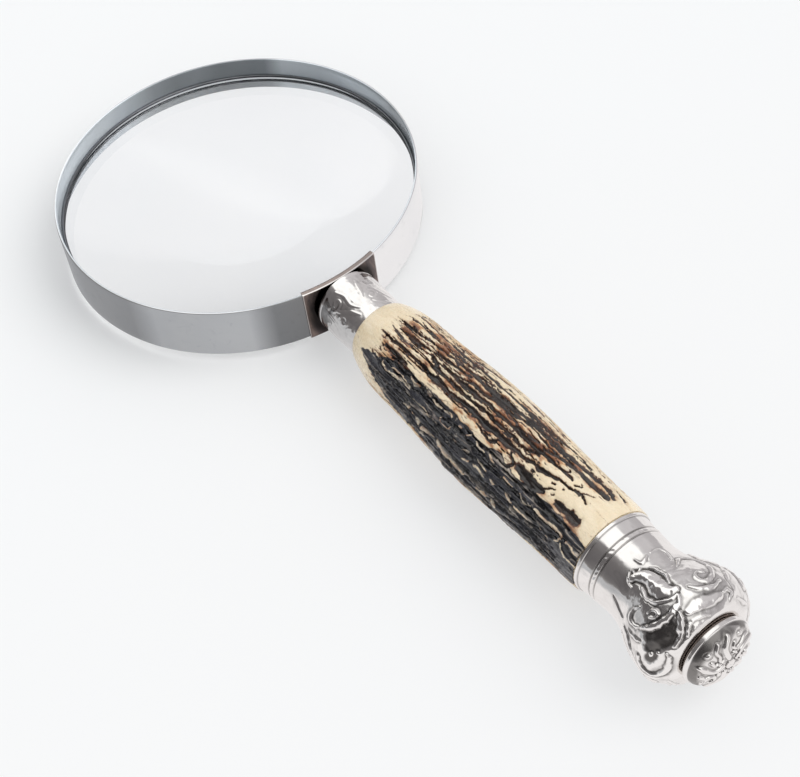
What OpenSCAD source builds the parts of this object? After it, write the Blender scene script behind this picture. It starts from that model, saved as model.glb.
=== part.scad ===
// Hand magnifier: a biconvex lens in a deep rolled metal band, with a
// folded saddle on the band that carries a threaded stud, and a turned
// handle of antler between a silver ferrule and an embossed pommel.
//
// Frame: origin on the handle's axis, midway between the far side of the
// rim and the tip of the end boss, level with the middle of the lens.
// +Z is the optical axis, up. +X runs along the handle, from the lens
// (front) to the pommel (rear). The modules draw each piece from the lens
// centre, and placed() moves it to the frame.
//
// Name endings: _r radius, _t thickness, _l length, _h height, _x distance
// from the lens centre (_x0 front end, _x1 rear end).

/* [Rim band] */
// Outer radius of the rolled band
rim_r = 50; // [35:0.5:60]
// Height of the band along the optical axis
rim_h = 15.6; // [14:0.1:20]
// Wall thickness of the band
rim_t = 0.65; // [0.6:0.05:1.4]
// Rounding of the band's edges
rim_edge = 0.2; // [0.1:0.05:0.28]
// Width of the butt seam that the saddle hides
seam_gap = 0.2; // [0.1:0.05:0.5]

/* [Lens] */
// Height of the cylindrical edge of the lens
lens_edge = 3.0; // [2:0.1:4]
// Bulge of each face over its edge
lens_sag = 4.3; // [2.5:0.1:4.8]
// Radial play of the lens in the band
lens_gap = 0.2; // [0.1:0.05:0.4]

/* [Retaining rings] */
// Wire diameter of the spring rings above and below the lens
wire_d = 0.9; // [0.6:0.05:1.2]
// Opening of each spring ring, in degrees
wire_open = 9; // [4:1:20]

/* [Saddle] */
// Sheet thickness of the folded saddle
saddle_t = 0.45; // [0.4:0.05:0.9]
// Half of the angle that the saddle covers on the band
saddle_half = 13; // [12:0.5:20]
// How far the folded lips reach down inside the band
saddle_lip = 1.2; // [0.6:0.1:2]

/* [Stud and washer] */
// Radius of the threaded stud
stud_r = 3.0; // [2.5:0.1:3.5]
// Free length of the stud past its foot
stud_l = 9.4; // [6:0.1:10]
// Radius of the stud's foot on the saddle
foot_r = 6.2; // [5:0.1:7]
// Running clearance between stud and socket, on the radius
thread_gap = 0.05; // [0.03:0.01:0.09]
// Thickness of the friction washer
washer_t = 0.9; // [0.5:0.1:1.0]

/* [Ferrule] */
// Distance from the lens centre to the ferrule's mouth
ferrule_x = 51.0; // [51:0.1:51.6]
// Outer radius of the ferrule at its mouth
ferrule_r0 = 9.0; // [8.7:0.05:9.5]
// Outer radius of the ferrule where it enters the grip
ferrule_r1 = 8.75; // [8.6:0.05:9.1]
// Wall thickness of the ferrule
ferrule_t = 0.6; // [0.4:0.05:0.65]

/* [Grip] */
// Where the grip's rounded front begins
grip_x0 = 66.3; // [66:0.1:67]
// Where the grip meets the pommel collar
grip_x1 = 155.3; // [140:0.5:155.3]
// Radius of the grip behind its rounded front
grip_r = 11.9; // [11.6:0.05:12.6]
// Extra radius in the middle of the grip
grip_swell = 1.2; // [0.4:0.05:1.6]
// Number of long furrows in the antler
furrows = 26; // [12:1:34]
// Radius of the round bottom of a furrow
furrow_r = 0.8; // [0.6:0.05:1.0]
// Depth of a furrow
furrow_d = 0.45; // [0.25:0.05:0.6]

/* [Tie rod] */
// Radius of the rod that holds the handle together
rod_r = 2.5; // [2:0.1:3]
// Across-flats size of the rod's nut
nut_af = 8.0; // [7:0.5:10]

/* [Pommel] */
// Radius of the collar's front bead
collar_r = 11.4; // [11.3:0.05:12]
// Smallest radius of the pommel, at its waist
waist_r = 10.45; // [10.2:0.05:10.8]
// Largest radius of the pommel
bulb_r = 14.8; // [14:0.05:17]
// Wall thickness of the pommel shell
shell_t = 0.7; // [0.5:0.05:0.9]

/* [End boss] */
// Radius of the boss that closes the pommel
boss_r = 9.3; // [8.5:0.05:9.6]
// Height of the boss along the handle
boss_h = 5.2; // [4.6:0.1:6]

/* [Hidden] */
$fn = 96;

// Clearances, and the overrun of a cut past a face
fit = 0.02;
joint = 0.05;
tight_gap = 0.01;
washer_gap = 0.08;
seat_gap = 0.1;
through = 1;

// Rim, lens and saddle
rim_bore_r = rim_r - rim_t;
lens_r = rim_bore_r - lens_gap;
lens_face_r = (lens_r * lens_r + lens_sag * lens_sag) / (2 * lens_sag);
saddle_bore_r = rim_r + fit;
saddle_r = saddle_bore_r + saddle_t;
saddle_bevel = 0.25;

// Stud, friction washer and socket
foot_x0 = 48;  // inside the saddle, before its curve is cut away
foot_x = rim_r + 2.05;
foot_bevel = 0.3;
stud_x1 = foot_x + stud_l;
stud_bevel = 0.8;
washer_r = 6.8;
washer_x = foot_x + joint;
flange_x = washer_x + washer_t + joint;
flange_t = 1.5;
flange_r = 7;
flange_bevel = 0.3;
plug_x = flange_x + flange_t;
ferrule_x1 = grip_x0 + 3.6;
ferrule_bore_r = ferrule_r1 - ferrule_t;
ferrule_bead = 0.35;
plug_r = ferrule_bore_r - fit;
socket_r = 4.5;
socket_x1 = ferrule_x1 + 3;
socket_bore_x1 = stud_x1 + 0.9;

// Outline of the grip
nose_r = ferrule_r1 + 0.3;
nose_l = 15;
swell_x0 = 80;
swell_x1 = grip_x1 - 7;
grip_end_l = 5;
grip_end_drop = 0.3;

// Collar, shell and core
collar_x = grip_x1 + 0.1;
shell_x = collar_x + 6.9;
shell_front_r = waist_r + 0.15;
waist_x = collar_x + 9.6;
bulb_x = waist_x + 16.7;
shell_x1 = bulb_x + 6.4;
tail_x = bulb_x + 6.0;  // where the shell turns into its rear flange
tail_r = 9.8;
tail_l = 6.6;
tenon_r = 9.6;
tenon_x = collar_x + 4.6;
tenon_bevel = 0.4;
collar_bore_r = 9.0;
core_neck_r = collar_bore_r - 0.1;
core_gap = 0.35;
core_rear_r = 9.9;
core_x1 = shell_x1 - shell_t - 0.25;
recess_r = 6.6;

// Rod and nut
rod_hole_r = rod_r + 0.1;
rod_x0 = socket_bore_x1 + 0.8;
rod_x1 = shell_x1 + 4.2;
rod_bevel0 = 0.3;
rod_bevel1 = 0.4;
nut_x = shell_x1 - 5.0;
nut_h = 4;
nut_bevel = 0.4;
rod_washer_r = 5.5;
recess_floor_x = nut_x - 1.1;

// End boss
boss_x = shell_x1 + 0.75;
boss_x1 = boss_x + boss_h;
boss_bevel = 0.35;
boss_base_h = 1.2;
boss_sweep = 86;  // degrees of the cap's dome
boss_top_t = 0.75;
boss_shoulder_t = 1.6;
insert_r = 5;
boss_washer_r = 8.6;
boss_washer_t = 0.5;
boss_washer_x = shell_x1 + seat_gap;

centre_x = (boss_x1 - rim_r) / 2;

// Bead and rings of the collar: [inset from collar_r, distance from collar_x]
COLLAR_RINGS = [
    [0.2, 0], [0, 0.2], [0, 0.7], [0.35, 0.95],
    [0.75, 4.2], [1.0, 4.35], [1.0, 4.55], [0.72, 4.75],
    [0.78, 5.6], [1.1, 5.85], [1.1, 6.1]];

silver = [0.80, 0.79, 0.78];
steel = [0.62, 0.63, 0.65];
brass = [0.78, 0.62, 0.32];
bone = [0.90, 0.83, 0.69];
glass = [0.86, 0.93, 0.95, 0.35];
fibre = [0.34, 0.22, 0.14];
hardwood = [0.55, 0.38, 0.22];
filler = [0.36, 0.27, 0.20];
leather = [0.22, 0.15, 0.11];

// Moves a piece from the lens centre to the part's own frame.
module placed() { translate([-centre_x, 0, 0]) children(); }

// Lays a piece drawn along +Z on the handle's axis, along +X.
module along_x() { rotate([0, 90, 0]) children(); }

// Turns a profile of [radius, distance along the handle] about +X.
module turned(profile) { along_x() rotate_extrude() polygon(profile); }

// A plain cylinder on the handle's axis, from x0 to x1.
module bar(r, x0, x1) {
    translate([x0, 0, 0]) along_x() cylinder(r = r, h = x1 - x0);
}

// Closes the upper half of a section with its mirror image below z = 0.
function with_lower_half(upper) = concat(
    upper, [for (i = [len(upper) - 1 : -1 : 0]) [upper[i][0], -upper[i][1]]]);

// n + 1 evenly spaced values from first to last.
function steps(first, last, n) =
    [for (i = [0 : n]) first + (last - first) * i / n];

// Smooth step from first to last while t runs from 0 to 1.
function ease(first, last, t) = first + (last - first) * (1 - cos(180 * t)) / 2;

// Radius of the grip at x: rounded nose, middle swell, slight drop at the rear.
function grip_at(x) =
    let (nose = min(1, max(0, (x - grip_x0) / nose_l)),
         swell = min(1, max(0, (x - swell_x0) / (swell_x1 - swell_x0))),
         end = max(0, (x - grip_x1 + grip_end_l) / grip_end_l))
    nose_r + (grip_r - nose_r) * pow(sin(90 * nose), 0.72)
        + grip_swell * pow(sin(180 * swell), 2) - grip_end_drop * end * end;

// Radius of the pommel shell at x: down to the waist, out to the bulb, and in.
function shell_at(x) =
    x < waist_x ? ease(shell_front_r, waist_r,
                       (x - shell_x) / (waist_x - shell_x)) :
    x < bulb_x ? ease(waist_r, bulb_r,
                      pow((x - waist_x) / (bulb_x - waist_x), 1.12)) :
    tail_r + (bulb_r - tail_r)
        * pow(max(0, cos(90 * (x - bulb_x) / tail_l)), 0.7);

// Strip rolled into a ring; its seam faces the saddle.
module rim_band() color(silver) placed() {
    top = rim_h / 2;
    corner = rim_edge * 0.29;  // inset of the point midway round an edge
    seam = seam_gap / rim_r * 180 / PI;
    rotate([0, 0, seam / 2]) rotate_extrude(angle = 360 - seam)
        polygon(with_lower_half([
            [rim_r, top - rim_edge], [rim_r - corner, top - corner],
            [rim_r - rim_edge, top], [rim_bore_r + rim_edge, top],
            [rim_bore_r + corner, top - corner],
            [rim_bore_r, top - rim_edge]]));
}

// Two spherical faces and a ground edge.
module lens() color(glass) placed() {
    face_z = lens_edge / 2 + lens_sag - lens_face_r;
    intersection() {
        translate([0, 0, -10]) cylinder(r = lens_r, h = 20, $fn = 180);
        translate([0, 0, face_z]) sphere(r = lens_face_r, $fn = 360);
        translate([0, 0, -face_z]) sphere(r = lens_face_r, $fn = 360);
    }
}

// Open ring of round wire that springs against the band above the lens.
module wire_ring() {
    ring_r = rim_bore_r - wire_d / 2 - tight_gap;
    ring_z = lens_edge / 2 + wire_d / 2 + 0.11;
    rotate([0, 0, wire_open / 2]) rotate_extrude(angle = 360 - wire_open)
        translate([ring_r, ring_z]) circle(d = wire_d, $fn = 24);
}

module upper_retaining_ring() color(steel) placed() wire_ring();

module lower_retaining_ring() color(steel) placed() mirror([0, 0, 1]) wire_ring();

// Sheet folded over both edges of the band.
module saddle() color(steel) placed() {
    fold = rim_h / 2 + fit;
    top = fold + saddle_t;
    lip_r = rim_bore_r - fit;
    lip_inner_r = lip_r - saddle_t;
    rotate([0, 0, -saddle_half]) rotate_extrude(angle = 2 * saddle_half)
        polygon(with_lower_half([
            [saddle_r, top - saddle_bevel], [saddle_r - saddle_bevel, top],
            [lip_inner_r + saddle_bevel, top],
            [lip_inner_r, top - saddle_bevel],
            [lip_inner_r, fold - saddle_lip], [lip_r, fold - saddle_lip],
            [lip_r, fold], [saddle_bore_r, fold]]));
}

// Stud brazed to the saddle by a round foot that follows its curve.
module threaded_stud() color(steel) placed() difference() {
    turned([[0, foot_x0], [foot_r, foot_x0], [foot_r, foot_x - foot_bevel],
            [foot_r - foot_bevel, foot_x], [stud_r, foot_x],
            [stud_r, stud_x1 - stud_bevel],
            [stud_r - stud_bevel, stud_x1], [0, stud_x1]]);
    translate([0, 0, -12]) cylinder(r = saddle_r + fit, h = 24, $fn = 180);
}

// Fibre washer between the stud's foot and the socket's flange.
module friction_washer() color(fibre) placed() difference() {
    bar(washer_r, washer_x, washer_x + washer_t);
    bar(stud_r + washer_gap, washer_x - through, washer_x + washer_t + through);
}

// Thin tube with a rolled bead at its mouth.
module ferrule() color(silver) placed()
    turned([[ferrule_bore_r, ferrule_x],
            [ferrule_r0 - ferrule_bead / 2, ferrule_x],
            [ferrule_r0, ferrule_x + ferrule_bead / 2],
            [ferrule_r0, ferrule_x + ferrule_bead * 2],
            [ferrule_r0 - 0.1, ferrule_x + ferrule_bead * 3],
            [(ferrule_r0 + ferrule_r1) / 2, ferrule_x + 6],
            [ferrule_r1, ferrule_x + 11], [ferrule_r1, ferrule_x1],
            [ferrule_bore_r, ferrule_x1]]);

// Hardwood plug that fills the ferrule round the socket.
module ferrule_plug() color(hardwood) placed() difference() {
    bar(plug_r, plug_x, ferrule_x1);
    bar(socket_r + fit, plug_x - through, ferrule_x1 + through);
}

// Flanged bush: the stud screws into its front, the rod into its back.
module threaded_socket() color(brass) placed() difference() {
    turned([[0, flange_x], [flange_r - flange_bevel, flange_x],
            [flange_r, flange_x + flange_bevel],
            [flange_r, plug_x - fit], [socket_r, plug_x - fit],
            [socket_r, socket_x1], [0, socket_x1]]);
    bar(stud_r + thread_gap, flange_x - through, socket_bore_x1);
    bar(rod_r + tight_gap, rod_x0 - 0.3, socket_x1 + through);
}

// Point on a furrow's centre line; angle is measured from +Z towards +Y.
function furrow_point(x, angle) =
    let (r = grip_at(x) + furrow_r - furrow_d)
    [x, r * sin(angle), r * cos(angle)];

// One long furrow, a round-bottomed channel from x0 to x1.
module furrow(x0, x1, angle, twist) {
    start = furrow_point(x0, angle);
    run = furrow_point(x1, angle + twist) - start;
    translate(start)
        rotate([0, acos(run[2] / norm(run)), atan2(run[1], run[0])])
            cylinder(r = furrow_r, h = norm(run), $fn = 24);
}

// Length of antler with a rounded front, a rear tenon and a bore.
module grip() color(bone) placed() difference() {
    turned(concat(
        [[0, grip_x0], [ferrule_r1 + joint, grip_x0]],
        [for (x = concat(steps(grip_x0 + 0.1, grip_x0 + 14, 12),
                         steps(grip_x0 + 18, grip_x1, 14)))
            [grip_at(x), x]],
        [[tenon_r, grip_x1], [tenon_r, tenon_x - tenon_bevel],
         [tenon_r - tenon_bevel, tenon_x], [0, tenon_x]]));
    bar(ferrule_r1 + fit, grip_x0 - through, ferrule_x1 + seat_gap);
    bar(socket_r + joint, grip_x0, socket_x1 + 0.3);
    bar(rod_hole_r, grip_x0, tenon_x + through);
    // Sines of large steps scatter the furrows' angles, ends and twists.
    for (i = [0 : furrows - 1]) {
        angle = 360 / furrows * i + 1.5 * sin(137.5 * i);
        x0 = grip_x0 + 8 + 5 * sin(97 * i + 20) + (i % 3) * 9;
        x1 = min(grip_x1 - 5, x0 + 42 + 24 * sin(61 * i));
        furrow(x0, x1, angle, 1.5 * sin(83 * i));
    }
}

// Steel rod from the socket through the grip to the end boss.
module tie_rod() color(steel) placed()
    turned([[0, rod_x0], [rod_r - rod_bevel0, rod_x0],
            [rod_r, rod_x0 + rod_bevel0], [rod_r, rod_x1 - rod_bevel1],
            [rod_r - rod_bevel1, rod_x1], [0, rod_x1]]);

// Collar with a bead in front and two turned rings behind it.
module pommel_collar() color(silver) placed() {
    bore_r = tenon_r + fit;
    seat_x = tenon_x + seat_gap;
    turned(concat(
        [[bore_r, collar_x]],
        [for (p = COLLAR_RINGS) [collar_r - p[0], collar_x + p[1]]],
        [[waist_r + 0.2, collar_x + 6.25], [shell_front_r, shell_x - fit],
         [collar_bore_r, shell_x - fit], [collar_bore_r, seat_x],
         [bore_r, seat_x]]));
}

// Thin embossed shell: waist, bulb and an inward rear flange.
module pommel_shell() color(silver) placed() {
    stations = concat(steps(shell_x, waist_x, 3),
                      steps(waist_x + 1, bulb_x, 12),
                      steps(bulb_x + 0.6, tail_x, 8));
    rear_r = shell_at(tail_x);
    turned(concat(
        [[shell_at(shell_x) - shell_t, shell_x]],
        [for (x = stations) [shell_at(x), x]],
        [[rear_r - 0.6, shell_x1 - 0.1], [rear_r - 1.0, shell_x1],
         [recess_r, shell_x1], [recess_r, shell_x1 - shell_t],
         [rear_r - 1.0, shell_x1 - shell_t]],
        [for (i = [len(stations) - 2 : -1 : 1])
            [shell_at(stations[i]) - shell_t * 1.05, stations[i]]]));
}

// Filler cast inside the shell and bored for the rod.
module pommel_core() color(filler) placed() {
    neck_x0 = tenon_x + 0.2;
    neck_x1 = shell_x + 0.2;
    stations = concat(steps(neck_x1, waist_x, 2),
                      steps(waist_x + 1, bulb_x, 8),
                      steps(bulb_x + 1, bulb_x + 4.6, 4));
    turned(concat(
        [[rod_hole_r, neck_x0], [core_neck_r, neck_x0],
         [core_neck_r, neck_x1]],
        [for (x = stations) [shell_at(x) - shell_t - core_gap, x]],
        [[core_rear_r, core_x1], [recess_r, core_x1],
         [recess_r, recess_floor_x], [rod_hole_r, recess_floor_x]]));
}

// Plain washer under the nut.
module rod_washer() color(steel) placed() difference() {
    bar(rod_washer_r, recess_floor_x + fit, nut_x - fit);
    bar(rod_hole_r, nut_x - 2 * through, nut_x + through);
}

// Hexagon nut that draws the handle together.
module rod_nut() color(brass) placed() difference() {
    end_r = nut_af * 0.53;
    side_r = nut_af * 0.58;
    nut_x1 = nut_x + nut_h;
    intersection() {
        translate([nut_x, 0, 0]) along_x()
            cylinder(d = nut_af / cos(30), h = nut_h, $fn = 6);
        turned([[0, nut_x], [end_r, nut_x], [side_r, nut_x + nut_bevel],
                [side_r, nut_x1 - nut_bevel], [end_r, nut_x1], [0, nut_x1]]);
    }
    bar(rod_r + tight_gap, nut_x - through, nut_x1 + through);
}

// Leather washer in the groove between shell and boss.
module boss_washer() color(leather) placed() difference() {
    bar(boss_washer_r, boss_washer_x, boss_washer_x + boss_washer_t);
    bar(rod_r + washer_gap, shell_x1 - through, shell_x1 + 2 * through);
}

// Embossed cap that screws on the rod's end.
module end_boss() color(silver) placed() {
    bore_r = insert_r + fit;
    turned(concat(
        [[bore_r, boss_x], [boss_r - boss_bevel, boss_x],
         [boss_r, boss_x + boss_bevel], [boss_r, boss_x + 1.1]],
        [for (t = steps(0, 1, 10))
            [boss_r * cos(boss_sweep * t) * (1 - 0.02 * t),
             boss_x + boss_base_h + (boss_h - boss_base_h) * sin(boss_sweep * t)]],
        [[0, boss_x1], [0, boss_x1 - boss_top_t],
         [bore_r, boss_x1 - boss_shoulder_t]]));
}

// Threaded insert held in the boss.
module boss_insert() color(brass) placed() difference() {
    turned([[0, boss_x], [insert_r, boss_x],
            [insert_r, boss_x1 - boss_shoulder_t - joint],
            [0, boss_x1 - boss_top_t - 0.2]]);
    bar(rod_r + thread_gap, boss_x - through, boss_x1 - 1.5);
}

rim_band();
lens();
lower_retaining_ring();
upper_retaining_ring();
saddle();
threaded_stud();
friction_washer();
ferrule();
ferrule_plug();
threaded_socket();
grip();
tie_rod();
pommel_collar();
pommel_shell();
pommel_core();
rod_washer();
rod_nut();
boss_washer();
end_boss();
boss_insert();
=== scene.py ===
"""A magnifying glass: a round lens in a plated band, with an antler handle and silver fittings.

The lens axis is Z and the handle runs from the lens along +X. Shapes are drawn in millimetres with
X counted from the lens centre; to_frame() moves them into the shared frame. Angles round the
handle are in degrees from the top (+Z), growing towards -Y.
"""
import math

import bmesh
import bpy
import numpy as np
from mathutils import Matrix, Vector


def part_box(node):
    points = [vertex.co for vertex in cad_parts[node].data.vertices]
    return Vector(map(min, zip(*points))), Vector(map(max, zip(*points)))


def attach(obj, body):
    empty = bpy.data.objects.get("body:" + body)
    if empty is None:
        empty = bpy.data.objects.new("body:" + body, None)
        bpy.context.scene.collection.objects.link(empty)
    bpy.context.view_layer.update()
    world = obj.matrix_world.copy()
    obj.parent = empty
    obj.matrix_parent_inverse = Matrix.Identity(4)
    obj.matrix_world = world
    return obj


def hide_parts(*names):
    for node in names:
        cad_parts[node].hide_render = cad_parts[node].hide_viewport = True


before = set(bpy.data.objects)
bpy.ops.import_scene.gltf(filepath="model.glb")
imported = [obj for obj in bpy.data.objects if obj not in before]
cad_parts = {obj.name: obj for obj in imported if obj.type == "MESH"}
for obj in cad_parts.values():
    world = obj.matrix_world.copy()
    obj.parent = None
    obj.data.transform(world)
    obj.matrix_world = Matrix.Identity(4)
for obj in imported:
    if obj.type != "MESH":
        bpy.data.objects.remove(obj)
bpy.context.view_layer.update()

MM = 0.001

# ---------------------------------------------------------------- sizes
_low, _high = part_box("rim_band")
LENS_SHIFT = -500.0 * (_low[0] + _high[0])  # added to shared X (mm) to count from the lens centre


def box(node):
    """Low and high corners of a CAD node, in mm from the lens centre."""
    low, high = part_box(node)
    shift = [LENS_SHIFT, 0, 0]
    return np.array(low) * 1000 + shift, np.array(high) * 1000 + shift


def to_frame(points):
    return (np.asarray(points, np.float64) - [LENS_SHIFT, 0, 0]) * MM


# Heights across the head are half heights, measured from the lens plane.
_, (_, RIM_RADIUS, RIM_HALF) = box("rim_band")
_, (_, LENS_RADIUS, LENS_TOP) = box("lens")
RIM_THICK = RIM_RADIUS - LENS_RADIUS - 0.2
LENS_EDGE = 1.5
RING_Z = sum(corner[2] for corner in box("upper_retaining_ring")) / 2
RING_WIRE = 0.44
_, (SADDLE_RADIUS, _, SADDLE_HALF) = box("saddle")
SEAT_RADIUS = SADDLE_RADIUS + 0.02
_, (STUD_END, FOOT_RADIUS, _) = box("threaded_stud")
FOOT_X = RIM_RADIUS + 2.05
(FERRULE_START, _, _), (FERRULE_END, _, FERRULE_RADIUS) = box("ferrule")
SLEEVE_RADIUS = FERRULE_RADIUS - 0.25
(GRIP_START, _, _), (TENON_END, _, _) = box("grip")
(COLLAR_START, _, _), (COLLAR_END, _, COLLAR_RADIUS) = box("pommel_collar")
GRIP_END = COLLAR_START - 0.1
(SHELL_START, _, _), (SHELL_END, _, BULB_RADIUS) = box("pommel_shell")
WAIST_X = COLLAR_START + 9.6
BULB_X = WAIST_X + 16.7
(BOSS_START, _, _), (BOSS_END, _, BOSS_RADIUS) = box("end_boss")
(ROD_START, _, _), (ROD_END, _, _) = box("tie_rod")

# ---------------------------------------------------------------- noise


def cell_value(ix, iy, iz, seed):
    h = (ix * 73856093) ^ (iy * 19349663) ^ (iz * 83492791) ^ (seed * 2654435761)
    h = (h ^ (h >> 13)) * 1274126177
    h = h & 0x7FFFFFFF
    h = (h ^ (h >> 16)) & 0xFFFF
    return h.astype(np.float64) / 65535.0


def noise3(points, cell, seed):
    """Smooth value noise in -1..1 at points (mm), with cells of 'cell' mm."""
    q = points / cell
    i = np.floor(q).astype(np.int64)
    f = q - i
    f = f * f * f * (f * (f * 6 - 15) + 10)
    out = np.zeros(points.shape[:-1])
    for dx in (0, 1):
        wx = f[..., 0] if dx else 1 - f[..., 0]
        for dy in (0, 1):
            wy = f[..., 1] if dy else 1 - f[..., 1]
            for dz in (0, 1):
                wz = f[..., 2] if dz else 1 - f[..., 2]
                corner = i + [dx + 1000, dy + 1000, dz + 1000]
                out += wx * wy * wz * cell_value(
                    corner[..., 0], corner[..., 1], corner[..., 2], seed)
    return out * 2 - 1


def fbm(points, cell, seed, octaves):
    """Noise summed over octaves, each half the size and strength of the one before."""
    gain, total, out = 1.0, 0.0, 0.0
    for k in range(octaves):
        out = out + gain * noise3(points, cell, seed + 17 * k)
        total += gain
        gain *= 0.5
        cell *= 0.5
    return out / total


def smooth(start, stop, x):
    t = np.clip((x - start) / (stop - start), 0, 1)
    return t * t * (3 - 2 * t)


def ease(start, stop, t):
    return start + (stop - start) * (1 - np.cos(np.pi * np.clip(t, 0, 1))) / 2


def lookup(table, x):
    """Straight-line reading of a table of (place, value) rows."""
    return np.interp(x, *np.array(table).T)


# ---------------------------------------------------------------- curves


def around_x(x, radius, angle):
    x, radius, angle = np.broadcast_arrays(x, radius, angle)
    return np.stack([x, -radius * np.sin(angle), radius * np.cos(angle)], -1)


def around_z(radius, angle, z):
    radius, angle, z = np.broadcast_arrays(radius, angle, z)
    return np.stack([radius * np.cos(angle), radius * np.sin(angle), z], -1)


def full_turn(segments):
    return np.arange(segments) * 2 * np.pi / segments


def arc(centre_r, centre_z, radius, start, stop, count):
    """Rows of (z, r) along a corner arc; angles in degrees from the outward direction."""
    a = np.radians(np.linspace(start, stop, count))
    return [(centre_z + radius * np.sin(t), centre_r + radius * np.cos(t)) for t in a]


def lengths(points):
    return np.r_[0, np.cumsum(np.linalg.norm(np.diff(points, axis=0), axis=1))]


def resample(points, step):
    """Points of a polyline of (x, r) rows, evenly spaced."""
    points = np.asarray(points, float)
    run = lengths(points)
    t = np.linspace(0, run[-1], int(run[-1] / step) + 1)
    return np.c_[np.interp(t, run, points[:, 0]), np.interp(t, run, points[:, 1])]


def catmull(points, step):
    """Smooth curve with points about 'step' apart; columns after the second ride along."""
    p = np.asarray(points, float)

    def count(start, end):
        return max(2, int(np.linalg.norm(end[:2] - start[:2]) / step) + 1)

    if len(p) == 2:
        return p[0] + (p[1] - p[0]) * np.linspace(0, 1, count(*p))[:, None]
    q = np.vstack([2 * p[0] - p[1], p, 2 * p[-1] - p[-2]])
    out = []
    for a, b, c, d in zip(q, q[1:], q[2:], q[3:]):
        t = np.linspace(0, 1, count(b, c), endpoint=False)[:, None]
        out.append(0.5 * (2 * b + (c - a) * t + (2 * a - 5 * b + 4 * c - d) * t ** 2
                          + (3 * b - a - 3 * c + d) * t ** 3))
    return np.vstack(out + [p[-1:]])


# ---------------------------------------------------------------- relief


class Sheet:
    """A turned surface unrolled to a grid: rows run along the handle, columns wrap round it.

    along is the row place in mm (the profile's x unless given) and turn the column's degrees.
    """

    def __init__(self, profile, segments, mean_radius, along=None):
        degrees = np.arange(segments) * 360 / segments
        along = profile[:, 0] if along is None else along
        self.along, self.turn = np.meshgrid(along, degrees, indexing="ij")
        self.mm_per_degree = mean_radius * np.pi / 180
        self.points = around_x(profile[:, :1], profile[:, 1:], np.radians(degrees))
        self.x = self.points[..., 0]

    def noise(self, cell, seed, pull=1):
        """Noise on the surface; a pull under 1 draws it out along the handle."""
        return noise3(self.points * [pull, 1, 1], cell, seed)

    def fbm(self, cell, seed, octaves, pull=1):
        return fbm(self.points * [pull, 1, 1], cell, seed, octaves)

    def near(self, strokes, warp, reach, width_scale=1):
        """For each (points, width, ...) stroke that meets the grid: the grid region round it,
        the distance to it in stroke widths, and the stroke.

        Points are (along, degrees, width factor) rows, where the factor may be left out.
        """
        for stroke in strokes:
            width = stroke[1] * width_scale
            curve = catmull([(*p, 1.0)[:3] for p in stroke[0]], 0.25)
            s, u, factor = curve[:, 0], curve[:, 1] * self.mm_per_degree, curve[:, 2]
            margin = width * factor.max() * reach
            row0 = np.searchsorted(self.along[:, 0], s.min() - margin)
            row1 = np.searchsorted(self.along[:, 0], s.max() + margin)
            u0, u1 = u.min() - margin, u.max() + margin
            around = self.turn[0] * self.mm_per_degree
            full = 360 * self.mm_per_degree
            around = around + np.round((0.5 * (u0 + u1) - around) / full) * full
            columns = np.nonzero((around >= u0) & (around <= u1))[0]
            if row1 <= row0 or not len(columns):
                continue
            region = np.ix_(np.arange(row0, row1), columns)
            gs = self.along[region] + warp[0][region]
            gu = around[columns] + warp[1][region]
            best = np.full(gs.shape, 1e9)
            for k in range(len(s) - 1):
                ds, du = s[k + 1] - s[k], u[k + 1] - u[k]
                run = ds * ds + du * du + 1e-12
                t = np.clip(((gs - s[k]) * ds + (gu - u[k]) * du) / run, 0, 1)
                w = (factor[k] + (factor[k + 1] - factor[k]) * t) * width + 1e-4
                best = np.minimum(best, np.hypot(gs - s[k] - ds * t, gu - u[k] - du * t) / w)
            yield region, best, stroke


def relief(sheet, strokes, warp, vary=1.0):
    """Height field of (points, half width mm, height mm, kind) strokes; vary widens the ridges."""
    field = np.zeros(sheet.along.shape)
    vary = np.broadcast_to(vary, field.shape)
    for region, d, (_, _, height, kind) in sheet.near(strokes, warp, reach=2.2):
        below = field[region]
        if kind == "ridge":
            d = d / vary[region]
            g = np.exp(-(d * 1.15) ** 2.6)
            top = height * g
            moat = 0.35 * height * np.exp(-((d - 1.55) * 2.6) ** 2)
            new = np.where(top > 0.02, np.maximum(below, top), below) - moat
            new = np.where(g > 0.5, np.maximum(new, top), new)
        elif kind == "dome":
            g = np.clip(1 - d ** 2, 0, 1) ** 0.75
            moat = 0.3 * height * np.exp(-((d - 1.18) * 5) ** 2)
            new = np.where(g > 0, np.maximum(below, height * g), below) - moat
        else:  # dish: levels what lies below it
            g = smooth(1.15, 0.35, d)
            new = below * (1 - g) + height * g
        field[region] = new
    return field


def blur(field, rows, columns):
    """Gaussian blur, widths in grid steps, on a grid whose columns wrap."""
    pad = int(3 * rows) + 2
    padded = np.pad(field, ((pad, pad), (0, 0)), mode="edge")
    fr = np.fft.fftfreq(padded.shape[0])[:, None]
    fc = np.fft.rfftfreq(field.shape[1])[None]
    kernel = np.exp(-2 * (np.pi * fr * rows) ** 2 - 2 * (np.pi * fc * columns) ** 2)
    return np.fft.irfft2(np.fft.rfft2(padded) * kernel, s=padded.shape)[pad:-pad]


def hollows(field, rows, columns, gain):
    """Mask in 0..1 of what lies lower than its surroundings."""
    return np.clip((blur(field, rows, columns) - field) * gain, 0, 1)


# ---------------------------------------------------------------- meshes


def add_object(name, mesh):
    ob = bpy.data.objects.new(name, mesh)
    bpy.context.scene.collection.objects.link(ob)
    return ob


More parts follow.
